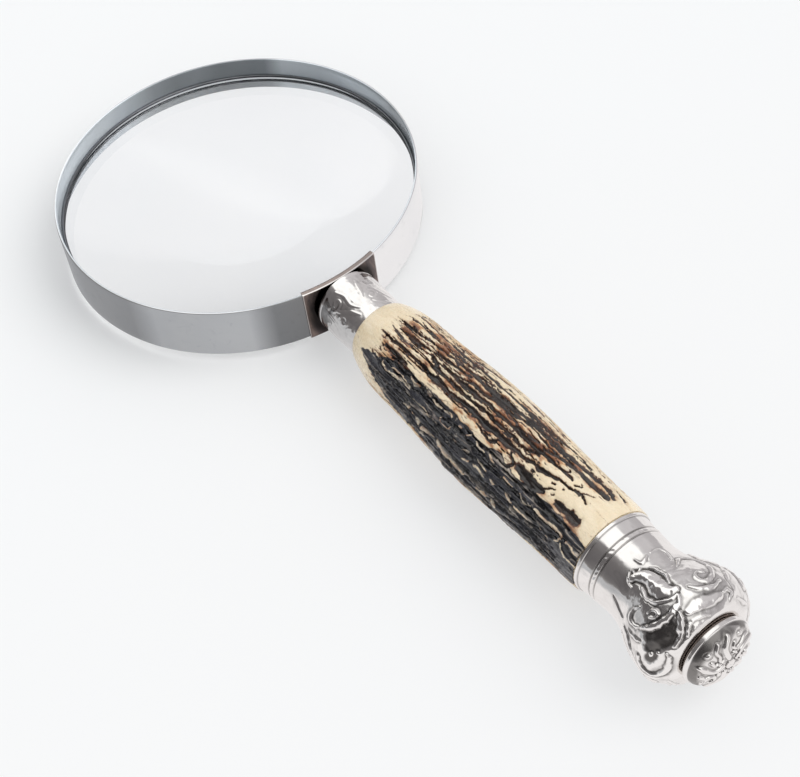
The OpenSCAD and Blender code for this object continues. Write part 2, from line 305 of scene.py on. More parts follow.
def build(name, vertices, faces, sharp_deg):
    """A smooth-shaded object with outward normals, from mm vertices and faces of any size."""
    mesh = bpy.data.meshes.new(name)
    co = to_frame(vertices)
    loops = np.concatenate(faces).astype(np.int32)
    counts = np.array([len(face) for face in faces], np.int32)
    starts = np.r_[0, np.cumsum(counts)[:-1]].astype(np.int32)
    mesh.vertices.add(len(co))
    mesh.vertices.foreach_set("co", co.astype(np.float32).ravel())
    mesh.loops.add(len(loops))
    mesh.loops.foreach_set("vertex_index", loops)
    mesh.polygons.add(len(counts))
    mesh.polygons.foreach_set("loop_start", starts)
    mesh.update(calc_edges=True)
    mesh.validate()
    # a closed mesh with outward normals has positive volume
    volume = 0.0
    first = co[loops[starts]]
    for k in range(1, int(counts.max()) - 1):
        ok = counts > k + 1
        b = co[loops[starts[ok] + k]]
        c = co[loops[starts[ok] + k + 1]]
        volume += np.einsum("ij,ij->i", first[ok], np.cross(b, c)).sum() / 6
    if volume < 0:
        mesh.flip_normals()
    mesh.polygons.foreach_set("use_smooth", np.ones(len(counts), bool))
    mesh.set_sharp_from_angle(angle=math.radians(sharp_deg))
    mesh.update()
    return add_object(name, mesh)


def grid_faces(rows, columns, wrap_rows, wrap_columns):
    i, j = np.meshgrid(np.arange(rows if wrap_rows else rows - 1),
                       np.arange(columns if wrap_columns else columns - 1), indexing="ij")
    i2, j2 = (i + 1) % rows, (j + 1) % columns
    corners = [i * columns + j, i2 * columns + j, i2 * columns + j2, i * columns + j2]
    return np.stack(corners, -1).reshape(-1, 4)


def add_masks(ob, masks):
    for name, values in masks.items():
        layer = ob.data.attributes.new(name, "FLOAT", "POINT")
        layer.data.foreach_set("value", np.asarray(values, np.float32).ravel())


def pole_ended(name, grid, poles, sharp_deg):
    """A tube of rings of points, closed at each end by a fan round a pole."""
    rows, segments = grid.shape[:2]
    start, last = rows * segments, (rows - 1) * segments
    faces = [*grid_faces(rows, segments, False, True)]
    faces += [[start, j, (j + 1) % segments] for j in range(segments)]
    faces += [[start + 1, last + (j + 1) % segments, last + j] for j in range(segments)]
    return build(name, np.vstack([grid.reshape(-1, 3), poles]), faces, sharp_deg)


def bent_bar(name, grid, sharp_deg, masks={}):
    """A closed section (rows) swept along an open arc (columns), with flat ends."""
    rows, columns = grid.shape[:2]
    ends = np.arange(rows) * columns
    faces = [*grid_faces(rows, columns, True, False), ends[::-1], ends + columns - 1]
    ob = build(name, grid.reshape(-1, 3), faces, sharp_deg)
    add_masks(ob, {k: np.broadcast_to(v, (rows, columns)) for k, v in masks.items()})
    return ob


def pad_rows(field, total, value=0.0):
    return np.vstack([field, np.full((total - len(field), field.shape[1]), value)])


def lathe(name, profile, height, sharp_deg, masks={}):
    """Turns a closed profile of (x, radius) rows round X.

    height shifts points along the profile's outward normal. It and the masks may cover only
    the first rows; the rest are 0.
    """
    profile = np.asarray(profile, float)
    total = len(profile)
    height = pad_rows(height, total)
    tangent = np.roll(profile, -1, 0) - np.roll(profile, 1, 0)
    tangent /= np.linalg.norm(tangent, axis=1)[:, None] + 1e-12
    segments = height.shape[1]
    x = profile[:, :1] - tangent[:, 1:] * height
    radius = profile[:, 1:] + tangent[:, :1] * height
    points = around_x(x, radius, full_turn(segments))
    faces = grid_faces(total, segments, True, True)
    ob = build(name, points.reshape(-1, 3), faces, sharp_deg)
    add_masks(ob, {key: pad_rows(value, total) for key, value in masks.items()})
    return ob


def place(ob, material, part, node):
    """Gives an object its material, hangs it from the body it rides on and hides the CAD node it
    stands for.
    """
    ob.data.materials.append(material)
    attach(ob, part)
    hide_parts(node)


# ---------------------------------------------------------------- shader nodes


class Nodes:
    """Builds the node tree of a material or world. Inputs take plain values or sockets."""

    def __init__(self, owner, output="OutputMaterial"):
        owner.use_nodes = True
        self.owner = owner
        self.tree = owner.node_tree
        self.tree.nodes.clear()
        self.output = self.node(output)

    def node(self, kind, inputs={}, **settings):
        node = self.tree.nodes.new("ShaderNode" + kind)
        for key, value in settings.items():
            setattr(node, key, value)
        for key, value in inputs.items():
            socket = node.inputs[key]
            if isinstance(value, bpy.types.NodeSocket):
                self.tree.links.new(value, socket)
            elif socket.type == "RGBA":
                socket.default_value = (*value, 1)
            else:
                socket.default_value = value
        return node

    def finish(self, surface):
        self.tree.links.new(surface, self.output.inputs["Surface"])
        return self.owner

    def coord(self):
        return self.node("TexCoord").outputs["Object"]

    def mapping(self, scale):
        inputs = {"Scale": scale, "Vector": self.coord()}
        return self.node("Mapping", inputs).outputs["Vector"]

    def noise(self, vector, scale, detail, roughness, distortion=0.0):
        return self.node("TexNoise", {
            "Scale": scale, "Detail": detail, "Roughness": roughness,
            "Distortion": distortion, "Vector": vector}).outputs["Fac"]

    def remap(self, value, start, stop, low=0, high=1, clamp=True):
        return self.node("MapRange", {
            "From Min": start, "From Max": stop, "To Min": low, "To Max": high,
            "Value": value}, clamp=clamp).outputs["Result"]

    def math(self, operation, *values):
        return self.node("Math", dict(enumerate(values)), operation=operation).outputs[0]

    def mix(self, factor, base, over, blend_type="MIX"):
        inputs = {0: factor, 6: base, 7: over}
        return self.node("Mix", inputs, data_type="RGBA", blend_type=blend_type).outputs[2]

    def blend(self, base, over, mask, start, stop, amount=1):
        """Lays 'over' on 'base' as the mask rises from start to stop."""
        return self.mix(self.remap(mask, start, stop, high=amount), base, over)

    def attr(self, name):
        return self.node("Attribute", attribute_name=name).outputs["Fac"]

    def bump(self, height, distance, strength):
        inputs = {"Distance": distance, "Strength": strength, "Height": height}
        return self.node("Bump", inputs).outputs["Normal"]

    def principled(self, **inputs):
        inputs = {key.replace("_", " "): value for key, value in inputs.items()}
        return self.node("BsdfPrincipled", inputs).outputs[0]

    def emission(self, colour):
        return self.node("Emission", {"Color": colour}).outputs[0]

    def mix_shader(self, factor, first, second):
        return self.node("MixShader", {0: factor, 1: first, 2: second}).outputs[0]


def new_material(name):
    return Nodes(bpy.data.materials.new(name))


def srgb(*channels):
    """Linear colour from 0..255 sRGB channels."""
    values = [c / 255 for c in channels]
    return tuple(c / 12.92 if c <= 0.04045 else ((c + 0.055) / 1.055) ** 2.4 for c in values)


def metal(name, low, high, rough, scratch_depth, stretch=(1, 1, 1), cavity_colour=None):
    """Polished metal: smudged roughness, fine scratches, and optionally dark recesses ("cav")."""
    mat = new_material(name)
    vec = mat.coord()
    cloud = mat.noise(vec, scale=60, detail=4, roughness=0.6, distortion=0.4)
    fine = mat.noise(mat.mapping(stretch), scale=900, detail=3, roughness=0.6)
    smudge = mat.noise(vec, scale=180, detail=5, roughness=0.65, distortion=1.2)
    colour = mat.blend(low, high, cloud, start=0.35, stop=0.65)
    smudged = tuple(c * 0.82 for c in low)
    colour = mat.blend(colour, smudged, smudge, start=0.45, stop=0.75, amount=0.22)
    roughness = mat.remap(smudge, start=0.3, stop=0.75, low=rough[0], high=rough[1])
    if cavity_colour:
        cavity = mat.attr("cav")
        colour = mat.blend(colour, cavity_colour, cavity, start=0, stop=1, amount=0.9)
        roughness = mat.math("ADD", roughness, mat.math("MULTIPLY", cavity, 0.25))
    return mat.finish(mat.principled(
        Base_Color=colour, Metallic=1.0, Roughness=roughness,
        Normal=mat.bump(fine, distance=scratch_depth, strength=0.6)))


# ---------------------------------------------------------------- rim band

# Painted reflection shade round the band, inside and outside, as darker patches in the plating's
# colour: (degrees from +X, brightness)
REFLECTION_SHADE_IN = [
    (0, 1), (45, 1), (56, .9), (65, .6), (71, .4), (82, .44), (90, .62), (97, .78), (108, 1),
    (131, 1), (137, .5), (152, .42), (160, .5), (168, .45), (176, .55), (189, 1), (225, 1),
    (240, .9), (250, 1), (360, 1)]
REFLECTION_SHADE_OUT = [
    (0, 1), (15, 1), (60, 1), (200, 1), (245, 1), (258, .56), (292, .5), (301, .8), (330, .8),
    (338, .36), (347, .3), (360, 1)]


def make_rim():
    """A strip rolled into a ring, with its narrow seam at +X."""
    edge = min(0.2, RIM_THICK * 0.3)
    inner, top = RIM_RADIUS - RIM_THICK, RIM_HALF - edge
    z_steps = np.linspace(-top, top, 12)[1:-1]
    profile = arc(RIM_RADIUS - edge, -top, edge, -90, 0, 4)
    profile += [(z, RIM_RADIUS) for z in z_steps]
    profile += arc(RIM_RADIUS - edge, top, edge, 0, 90, 4)
    profile += arc(inner + edge, top, edge, 90, 180, 4)
    profile += [(z, inner) for z in z_steps[::-1]]
    profile += arc(inner + edge, -top, edge, 180, 270, 4)
    z, r = np.array(profile).T[..., None]
    seam = 0.2 / RIM_RADIUS
    angle = np.linspace(seam / 2, 2 * np.pi - seam / 2, 900)
    # the rolled strip is never quite round: a little slow waviness carries the reflections
    from_seam = np.abs(np.angle(np.exp(1j * angle)))
    wave = 0.035 * fbm(around_z(30, angle, 0.0), 16, 5, 2) * smooth(0.10, 0.35, from_seam)
    ripple = 0.012 * noise3(around_z(30, angle, z), 9, 9)
    inside = (r < (inner + RIM_RADIUS) / 2).astype(float)
    degrees = np.degrees(angle) % 360
    # painted reflection shade: the plating darkened in patches by angle, inside and outside
    reflection_shade = inside * lookup(REFLECTION_SHADE_IN, degrees) + (1 - inside) * lookup(REFLECTION_SHADE_OUT, degrees)
    return bent_bar("rim_band_rolled", around_z(r + wave + ripple, angle, z), 50,
                    {"reflection_shade": reflection_shade, "inside": inside})


def band_plating():
    mat = new_material("band_plating")
    vec = mat.coord()
    ringwise = mat.noise(mat.mapping((1, 1, 26)), scale=160, detail=3, roughness=0.55)
    cloud = mat.noise(vec, scale=38, detail=3, roughness=0.5, distortion=0.5)
    spots = mat.noise(vec, scale=420, detail=5, roughness=0.7, distortion=0.6)
    colour = mat.blend((0.82, 0.835, 0.855), (0.92, 0.925, 0.93), cloud, start=0.35, stop=0.65)
    colour = mat.blend(colour, (0.42, 0.43, 0.45), spots, start=0.58, stop=0.8, amount=0.3)
    # painted reflection shade multiplied into the plating's colour
    reflection_shade = mat.mix(mat.attr("reflection_shade"), (0, 0, 0), (1, 1, 1))
    colour = mat.mix(1.0, colour, reflection_shade, "MULTIPLY")
    inside = mat.attr("inside")
    # painted cool shade: the inner wall's colour tinted blue-grey
    inner_shade_tint = mat.mix(mat.math("MULTIPLY", inside, 0.7), (1, 1, 1), (0.86, 0.94, 1.0))
    colour = mat.mix(1.0, colour, inner_shade_tint, "MULTIPLY")
    roughness = mat.math("ADD", mat.remap(cloud, start=0.3, stop=0.7, low=0.10, high=0.2),
                         mat.remap(spots, start=0.5, stop=0.8, high=0.12))
    return mat.finish(mat.principled(
        Base_Color=colour, Roughness=roughness,
        Metallic=mat.remap(mat.attr("inside"), start=0, stop=1, low=1.0, high=0.42),
        Normal=mat.bump(ringwise, distance=0.000012, strength=0.5)))


place(make_rim(), band_plating(), "head", "rim_band")

# ---------------------------------------------------------------- lens


def make_lens():
    """A biconvex lens: spherical faces and a flat edge with a small bevel."""
    sagitta = LENS_TOP - LENS_EDGE
    sphere = (LENS_RADIUS ** 2 + sagitta ** 2) / (2 * sagitta)
    bevel = 0.25
    radii = np.sin(np.linspace(0, np.pi / 2, 46)) * (LENS_RADIUS - bevel)
    top = [(LENS_TOP - sphere + math.sqrt(sphere * sphere - r * r), r) for r in radii]
    shoulder = LENS_EDGE - bevel * 0.55
    edge = [(z, LENS_RADIUS) for z in (shoulder, 0.5, -0.5, -shoulder)]
    profile = np.array(top + edge + [(-z, r) for z, r in top[::-1]])
    z, r = profile[1:-1].T[..., None]
    poles = [[0, 0, profile[0, 0]], [0, 0, profile[-1, 0]]]
    return pole_ended("lens_glass_body", around_z(r, full_turn(256), z), poles, 30)


def lens_clear():
    """Clear glass with a faint wiped haze; shadow rays pass straight through."""
    mat = new_material("lens_clear")
    haze = mat.noise(mat.coord(), scale=26, detail=4, roughness=0.6, distortion=0.8)
    wipe = mat.noise(mat.mapping((1, 5, 1)), scale=40, detail=4, roughness=0.6, distortion=0.6)
    tint = mat.blend((1.0, 1.0, 1.0), (0.985, 0.992, 0.998), haze, start=0.35, stop=0.7)
    glass = mat.principled(
        Transmission_Weight=1.0, IOR=1.52, Base_Color=tint,
        Roughness=mat.remap(wipe, start=0.55, stop=0.85, high=0.006))
    clear = mat.node("BsdfTransparent", {"Color": (0.985, 0.99, 1.0)}).outputs[0]
    shadow_ray = mat.node("LightPath").outputs["Is Shadow Ray"]
    return mat.finish(mat.mix_shader(shadow_ray, glass, clear))


place(make_lens(), lens_clear(), "head", "lens")

# ---------------------------------------------------------------- retaining rings


def make_ring(name, side):
    """A round wire ring with a gap at +X, above (side 1) or below (side -1) the lens."""
    half_gap = math.radians(4.5)
    angle = np.linspace(half_gap, 2 * np.pi - half_gap, 520)
    lift = 0.03 * noise3(around_z(40, angle, side * 5.0), 9, 3)
    section = full_turn(14)[:, None]
    radius = RIM_RADIUS - RIM_THICK - 0.46 + RING_WIRE * np.cos(section)
    z = side * RING_Z + RING_WIRE * np.sin(section) + side * np.abs(lift)
    return bent_bar(name, around_z(radius, angle, z), 50)


spring_wire = metal("spring_wire", (0.16, 0.17, 0.18), (0.26, 0.27, 0.29), rough=(0.25, 0.4),
                    scratch_depth=5.333333e-5)
for label, side in (("upper", 1), ("lower", -1)):
    place(make_ring("retaining_ring_" + label, side), spring_wire, "head",
          label + "_retaining_ring")

# ---------------------------------------------------------------- saddle


def make_saddle():
    """Sheet folded over the band at +X, with lips that turn in behind its inner face."""
    fit, lip, bend = 0.02, 1.2, 0.4
    inner = RIM_RADIUS - RIM_THICK - fit
    outer = RIM_RADIUS + fit
    half = RIM_HALF + fit
    sheet = SADDLE_HALF - half
    back, skin, level = inner - sheet, outer + sheet, SADDLE_HALF - bend
    # outer skin from the lower inner lip, round the outside, to the upper inner lip
    profile = [(-half + lip, back), (-half + 0.4, back)]
    profile += arc(back + bend, -level, bend, 180, 270, 7)
    profile += arc(skin - bend, -level, bend, 270, 360, 7)
    profile += [(z, skin) for z in np.linspace(-level, level, 40)[1:-1]]
    profile += arc(skin - bend, level, bend, 0, 90, 7)
    profile += arc(back + bend, level, bend, 90, 180, 7)
    profile += [(half - 0.4, back), (half - lip, back)]
    # then back along the inner skin
    profile += [(half - lip, inner), (half - 0.05, inner), (half, inner + 0.05),
                (half, outer - 0.05), (half - 0.05, outer)]
    profile += [(z, outer) for z in np.linspace(half - 0.3, -half + 0.3, 10)]
    profile += [(-half + 0.05, outer), (-half, outer - 0.05), (-half, inner + 0.05),
                (-half + 0.05, inner), (-half + lip, inner)]
    z, r = np.array(profile).T[..., None]
    spread = 13.0
    angle = np.radians(np.linspace(-spread, spread, 160))
    points = around_z(r, angle, z)
    dents = np.minimum(np.where(r > outer + 0.2, 0.07 * fbm(points, 5.0, 21, 3), 0.0), 0.0)
    # painted highlight along the outer fold and at the side ends, painted shadow on the plate
    # behind the ferrule
    fold = np.hypot(np.abs(z) - SADDLE_HALF + 0.12, r - skin + 0.12)
    edge = np.exp(-(fold / 0.2) ** 2)
    outside = r > outer + 0.1
    ends = np.exp(-((spread - np.abs(np.degrees(angle))) / 0.35) ** 2) * outside
    # painted shadow on the plate round the ferrule, reaching further towards -Y and up
    away = np.hypot(points[..., 1], points[..., 2])
    lean = 0.5 + 0.5 * np.clip((-points[..., 1] * 0.8 + points[..., 2] * 0.6) / 9.0, -1, 1)
    blotch = 0.5 * fbm(points, 2.5, 23, 3)
    painted_ferrule_shadow = (1 - smooth(9.4, 10.4 + 3.2 * lean, away + blotch)) * outside
    # painted sheen: the lips' flat top and bottom faces in a lighter grey
    top = (np.abs(z) > SADDLE_HALF - 0.12) & (r < skin - 0.2)
    return bent_bar("saddle_folded_sheet", around_z(r + dents, angle, z), 45,
                    {"edge": np.clip(edge + 0.6 * ends, 0, 1), "painted_ferrule_shadow": painted_ferrule_shadow, "top": top})


def saddle_patina_and_painted_light():
    mat = new_material("saddle_patina_and_painted_light")
    vec = mat.coord()
    streak = mat.noise(mat.mapping((1, 1, 0.3)), scale=120, detail=5, roughness=0.6,
                       distortion=1.8)
    speck = mat.noise(vec, scale=420, detail=4, roughness=0.6, distortion=0.5)
    colour = mat.blend(srgb(92, 84, 84), srgb(150, 132, 124), streak, start=0.38, stop=0.6)
    # Layers laid on in turn: colour, mask, mask start, mask stop, amount
    for over, mask, start, stop, amount in (
            # painted reflections: pinkish-white streaks running up the plate
            (srgb(232, 196, 178), streak, 0.58, 0.68, 0.8),
            (srgb(70, 58, 52), speck, 0.55, 0.75, 0.35),
            # painted shadow behind the ferrule, nearly black
            (srgb(26, 23, 22), mat.attr("painted_ferrule_shadow"), 0.0, 1.0, 0.93),
            # painted sheen on the lips' flat faces
            (srgb(158, 148, 144), mat.attr("top"), 0.0, 1.0, 0.75),
            # painted highlight along the outer fold and at the side ends
            (srgb(246, 242, 240), mat.attr("edge"), 0.25, 0.9, 1.0)):
        colour = mat.blend(colour, over, mask, start, stop, amount)
    return mat.finish(mat.principled(
        Base_Color=colour, Metallic=1.0,
        Roughness=mat.remap(speck, start=0.3, stop=0.7, low=0.12, high=0.26),
        Normal=mat.bump(speck, distance=0.00003, strength=0.5)))


place(make_saddle(), saddle_patina_and_painted_light(), "head", "saddle")

# ---------------------------------------------------------------- threaded pieces


def thread(name, start, end, radius, pitch, thread_from, end_chamfer, segments,
           start_chamfer=0.0):
    """A shaft along X with a helical thread cut from thread_from to its +X end."""
    steps = int((end - start) / (pitch / 10)) + 1
    x, angle = np.meshgrid(np.linspace(start, end, steps), full_turn(segments), indexing="ij")
    phase = (x / pitch + angle / (2 * np.pi)) % 1.0
    cut = 0.6 * pitch * smooth(0.2, 0.95, np.abs(phase - 0.5) * 2)
    r = radius - cut * smooth(thread_from - 0.3, thread_from + 0.3, x)
    r = np.minimum(r, radius - end_chamfer + np.clip(end - x, 0, end_chamfer))
    r = np.minimum(r, radius - start_chamfer + np.clip(x - start, 0, start_chamfer))
    poles = [[start, 0, 0], [end, 0, 0]]
    ob = pole_ended(name, around_x(x, r, angle), poles, 35)
    bm = bmesh.new()
    bm.from_mesh(ob.data)
    bmesh.ops.recalc_face_normals(bm, faces=bm.faces[:])
    bm.to_mesh(ob.data)
    bm.free()
    return ob


def make_stud():
    """A threaded stud whose -X cap gives way to a foot that follows the saddle's curve."""
    segments = 64
    ob = thread("stud_threaded", FOOT_X, STUD_END, radius=3.0, pitch=1.0,
                thread_from=FOOT_X + 1.0, end_chamfer=0.7, segments=segments)
    bm = bmesh.new()
    bm.from_mesh(ob.data)
    bm.verts.ensure_lookup_table()
    rows = [[bm.verts[j] for j in range(segments)]]
    start_pole = bm.verts[len(bm.verts) - 2]
    bmesh.ops.delete(bm, geom=[start_pole], context="VERTS")
    # (x, radius) of each ring; x is None where the ring lies on the saddle
    for ring_x, r in ((FOOT_X, FOOT_RADIUS - 0.35), (FOOT_X - 0.1, FOOT_RADIUS - 0.1),
                      (FOOT_X - 0.35, FOOT_RADIUS), (None, FOOT_RADIUS),
                      (None, FOOT_RADIUS * 0.66), (None, FOOT_RADIUS * 0.33)):
        ring = []
        for angle in full_turn(segments):
            y, z = -r * math.sin(angle), r * math.cos(angle)
            x = math.sqrt(SEAT_RADIUS ** 2 - y * y) if ring_x is None else ring_x
            ring.append(bm.verts.new(to_frame((x, y, z))))
        rows.append(ring)
    for a, b in zip(rows[:-1], rows[1:]):
        for j in range(segments):
            bm.faces.new([a[j], b[j], b[(j + 1) % segments], a[(j + 1) % segments]])
    centre = bm.verts.new(to_frame((SEAT_RADIUS, 0, 0)))
    for j in range(segments):
        bm.faces.new([rows[-1][j], centre, rows[-1][(j + 1) % segments]])
    bmesh.ops.recalc_face_normals(bm, faces=bm.faces[:])
    for face in bm.faces:
        face.smooth = True
    bm.to_mesh(ob.data)
    bm.free()
    ob.data.set_sharp_from_angle(angle=math.radians(35))
    return ob


steel = metal("turned_steel", (0.42, 0.43, 0.44), (0.56, 0.57, 0.58), rough=(0.22, 0.38),
              scratch_depth=6.666667e-5, stretch=(14, 1, 1))
brass = metal("turned_brass", (0.58, 0.40, 0.14), (0.70, 0.52, 0.22), rough=(0.2, 0.36),
              scratch_depth=6.666667e-5, stretch=(14, 1, 1))
place(make_stud(), steel, "head", "threaded_stud")
tie_rod = thread("tie_rod_threaded", ROD_START, ROD_END, radius=2.5, pitch=0.8,
                 thread_from=ROD_END - 13, end_chamfer=0.4, segments=40, start_chamfer=0.3)
place(tie_rod, steel, "handle", "tie_rod")

# ---------------------------------------------------------------- ferrule

# Repeated strokes: points (mm from the ferrule's start, degrees from the repeat's base,
# width factor), half width, height, kind
FERRULE_STROKES = [
    ([(6.2, 8, .5), (8, 2, 1.2), (10.5, -8, 1.3), (13, -16, .6)], .5, .16, "dome"),
    ([(2.4, -14, .6), (5.5, -20, 1.1), (8.5, -17, 1), (11.5, -26, .5)], .42, .15, "ridge"),
    ([(3, 20, .6), (6, 25, 1), (9, 32, .6)], .4, .14, "ridge"),
    ([(11.5, 20, .6), (13.4, 10, 1), (14.6, -4, .6)], .4, .14, "ridge"),
]


def spiral(along, degrees, mm_per_degree, radius0, radius1, start_deg, turns):
    """Stroke points of a scroll that opens and widens; negative turns run the other way."""
    out = []
    for i in range(15):
        t = i / 14
        a = math.radians(start_deg) + turns * 2 * math.pi * t
        r = radius0 + (radius1 - radius0) * t ** 1.2
        out.append((along + r * math.cos(a), degrees + r * math.sin(a) / mm_per_degree,
                    0.5 + 0.5 * t))
    return out


def make_ferrule():
    """Sleeve with five repeats of light chased scrolls and leaves."""
    start, bead = FERRULE_START, 0.35
    bore = SLEEVE_RADIUS - 0.6
    outer = resample([
        (start, FERRULE_RADIUS - bead * 0.5), (start + bead * 0.2, FERRULE_RADIUS - bead * 0.15),
        (start + bead * 0.5, FERRULE_RADIUS), (start + bead * 2, FERRULE_RADIUS),
        (start + bead * 3, FERRULE_RADIUS - 0.1),
        (start + 6, (FERRULE_RADIUS + SLEEVE_RADIUS) / 2),
        (start + 11, SLEEVE_RADIUS), (GRIP_START + 0.4, SLEEVE_RADIUS)], 0.12)
    sheet = Sheet(outer, 420, mean_radius=9.2)
    per_degree = sheet.mm_per_degree
    strokes = []
    for repeat in range(5):
        base = repeat * 72 + 42
        strokes += [
            (spiral(start + 4.8, base, per_degree, 0.5, 2.1, 40, 1.15), 0.42, 0.16, "ridge"),
            (spiral(start + 9.6, base + 14, per_degree, 0.4, 1.8, 220, -1.1), 0.40, 0.15,
             "ridge")]
        strokes += [([(start + x, base + turn, w) for x, turn, w in points], *shape)
                    for points, *shape in FERRULE_STROKES]
    warp = (0.25 * sheet.noise(2.2, 31), 0.25 * sheet.noise(2.2, 32))
    height = relief(sheet, strokes, warp)
    fade = smooth(start + 1.2, start + 2.2, sheet.x) \
        * (1 - smooth(GRIP_START - 1.2, GRIP_START - 0.4, sheet.x))
    height = blur(height * 0.62, 1.1, 1.1) * fade * (0.75 + 0.5 * sheet.noise(3.2, 39))
    hammered = 0.085 * sheet.fbm(2.7, 41, 3, pull=0.6) + 0.022 * sheet.noise(0.9, 45)
    height = height + hammered * smooth(start + 0.6, start + 1.6, sheet.x)
    tail = [(FERRULE_END, SLEEVE_RADIUS), (FERRULE_END, bore + 0.05), (FERRULE_END - 0.3, bore)]
    inner = [(x, bore) for x in np.linspace(FERRULE_END - 1, start + 0.3, 12)]
    inner += [(start + 0.05, bore + 0.05), (start, bore + 0.2)]
    profile = np.vstack([outer, tail, inner])
    cavity = pad_rows(hollows(height, 5, 5, gain=6), len(outer) + len(tail))
    cavity = pad_rows(cavity, len(profile), 0.8)
    return lathe("ferrule_chased", profile, height, 60, {"cav": cavity})


silver = metal("silver_plate", (0.84, 0.82, 0.805), (0.93, 0.915, 0.90), rough=(0.07, 0.17),
               scratch_depth=1.6e-5, cavity_colour=(0.05, 0.042, 0.038))
place(make_ferrule(), silver, "handle", "ferrule")

# ---------------------------------------------------------------- grip


def grip_radius(x):
    rise = np.clip((x - GRIP_START) / 15, 0, 1)
    belly = np.clip((x - 80) / (GRIP_END - 87), 0, 1)
    end = np.clip((x - GRIP_END + 5) / 5, 0, None)
    nose = FERRULE_RADIUS + 0.05
    return (nose + (11.9 - nose) * np.sin(np.pi / 2 * rise) ** 0.72
            + 1.2 * np.sin(np.pi * belly) ** 2 - 0.3 * end * end)


# Furrows round the top: points (x, degrees, width factor), half width
FURROWS = [
    ([(73.3, 20, .5), (77, 20, .8), (84, 19.3, .9), (92, 19, 1), (99, 19.5, 1.3), (104, 18, 1.8),
      (110, 18, 2.2), (116, 18, 1.9), (121, 16.5, 1.6), (127, 17, 1.2), (132, 14, 1.1),
      (136, 12, .9), (140, 6.5, .8), (145, 4, .7)], .62),
    ([(77, 3.6, .6), (81, 2.6, 1.2), (85, .8, 1.6), (89, -3, 1), (93, -6, 1), (98, -8.5, 1.2),
      (102, -11, .8)], .6),
    ([(89.5, 2, .7), (92.5, 6, 1), (95.5, 10, 1.1), (101, 8.8, .9), (108, 9.6, 1), (114, 9.2, 1),
      (121, 8, 1.3), (126, 9, .9), (130, 5, .6)], .6),
    ([(95, 2.5, .6), (101, 1.5, 1), (108, 1.2, 1.1), (114, 0, 1.2), (120, -1.2, 1.5),
      (127, .5, 1.3), (133, -3.2, 1.4), (139, -4.8, .9), (141, -4, .5)], .62),
    ([(73.2, -8, .5), (78, -8, 1), (82, -9, 1.1), (85, -11, 1), (90, -14.8, 1), (98, -16.2, 1.3),
      (104, -15.6, 1.1), (108, -13.8, 1), (112, -12, .9), (117, -11, .6)], .6),
    ([(101, -2, .5), (104, -6, .9), (109, -6.5, 1.2), (112, -9, 1), (117, -10, .9),
      (120, -13, .8), (123, -18, .9), (127, -20, .8), (131, -21, .5)], .55),
    ([(103, -16, .7), (108, -16.5, 1), (113, -16.2, 1.1), (119, -19, 1.1), (125, -23, 1),
      (130, -25, .7)], .6),
    ([(75, -31, .7), (84, -32, 1.1), (92, -32, 1.2), (101, -30.5, 1.1), (110, -31, 1.2),
      (120, -31, 1.3), (128, -35, 1.3), (134, -38, 1), (140, -39, .8)], .52),
    ([(130, -7, .6), (133, -12, .9), (137, -17.5, 1.1), (143, -19, 1.2), (149.5, -19, .9)], .72),
    ([(129, -21, .6), (135, -26, 1), (141, -29.5, 1.2), (147, -31, 1.3), (150.2, -26, .7)], .72),
    ([(78, 30.6, .7), (82, 31, 1.1), (87, 30.6, .7)], .5),
    ([(129, 28, 1.6), (132, 30, 2.6), (136, 29, 1.8), (138, 27.5, .8)], .7),
    ([(142.5, 27.5, 1.2), (146, 27, 2), (150.3, 27.3, 1.6)], .8),
    ([(119, 28, .5), (121, 24, 1.2), (122, 20, 1), (126, 17, .6)], .5),
    ([(126.5, 35, .8), (127, 28, 1.2), (126, 22, .8)], .55),
    ([(137, 27, .8), (139, 22, .6), (141, 17, .4)], .4),
    ([(113, 24, .4), (117, 27, 1), (120, 28, .6)], .35),
    ([(132.5, 20, 1), (133, 19.4, 1)], .45),
    ([(138.6, 15.5, 1), (139.2, 14, 1)], .45),
    ([(142, 12.5, .7), (142.4, 12, .7)], .4),
    ([(140.5, 24, .8), (141.2, 23, .6)], .4),
    ([(143, 3, .7), (145.5, 2, .9), (148.5, 6, .6)], .42),
    ([(144, 5, .6), (146, -3, .8), (148, -8, .4)], .34),
    ([(142, 0, .6), (143.5, -5, .7), (142.8, -9, .4)], .34),
    ([(137.5, -5, .6), (139, -9, .7), (138.4, -12, .4)], .34),
    ([(121, -20, .6), (122, -25, 1), (124, -29, .6)], .5),
    ([(135, -33, .6), (139, -36, .9), (143, -34, .6), (148, -36, .5)], .5),
    ([(148, -42, .6), (151.5, -37, 1), (155, -33, 1.4)], .6),
]
# Wandering furrows, sparse between the drawn ones and wider on the far side:
# degrees from, degrees to, spacing, half width, x from, x to
FILLS = [
    (-72, -40, 6.6, .32, 72, 150), (-38, -10, 5.6, .29, 74, 140), (-8, 30, 6.0, .25, 77, 134),
    (36, 80, 6.6, .34, 78, 151), (82, 98, 5.6, .42, 86, 151), (101, 287, 7.4, .46, 72, 151),
]
# The dark, deeply weathered zone along the -Y side: (x, degrees) of its two edges
ZONE_LOW = [
    (70, 60), (72.5, 56), (75, 52), (79, 46), (82, 40), (86, 37), (92, 34), (98, 33.5),
    (106, 33), (112, 33.5), (118, 34), (124, 30), (127, 34), (131, 37), (137, 34), (143, 33),
    (147, 35.5), (151, 38), (155.5, 42)]
ZONE_HIGH = [
    (70, 60), (72.5, 63), (76, 72), (80, 79), (84, 88), (88, 93), (93, 95), (98, 97), (104, 101),
    (110, 107), (116, 111), (121, 114), (126, 117), (130, 119), (136, 118), (142, 113),
    (147, 106), (155.5, 104)]
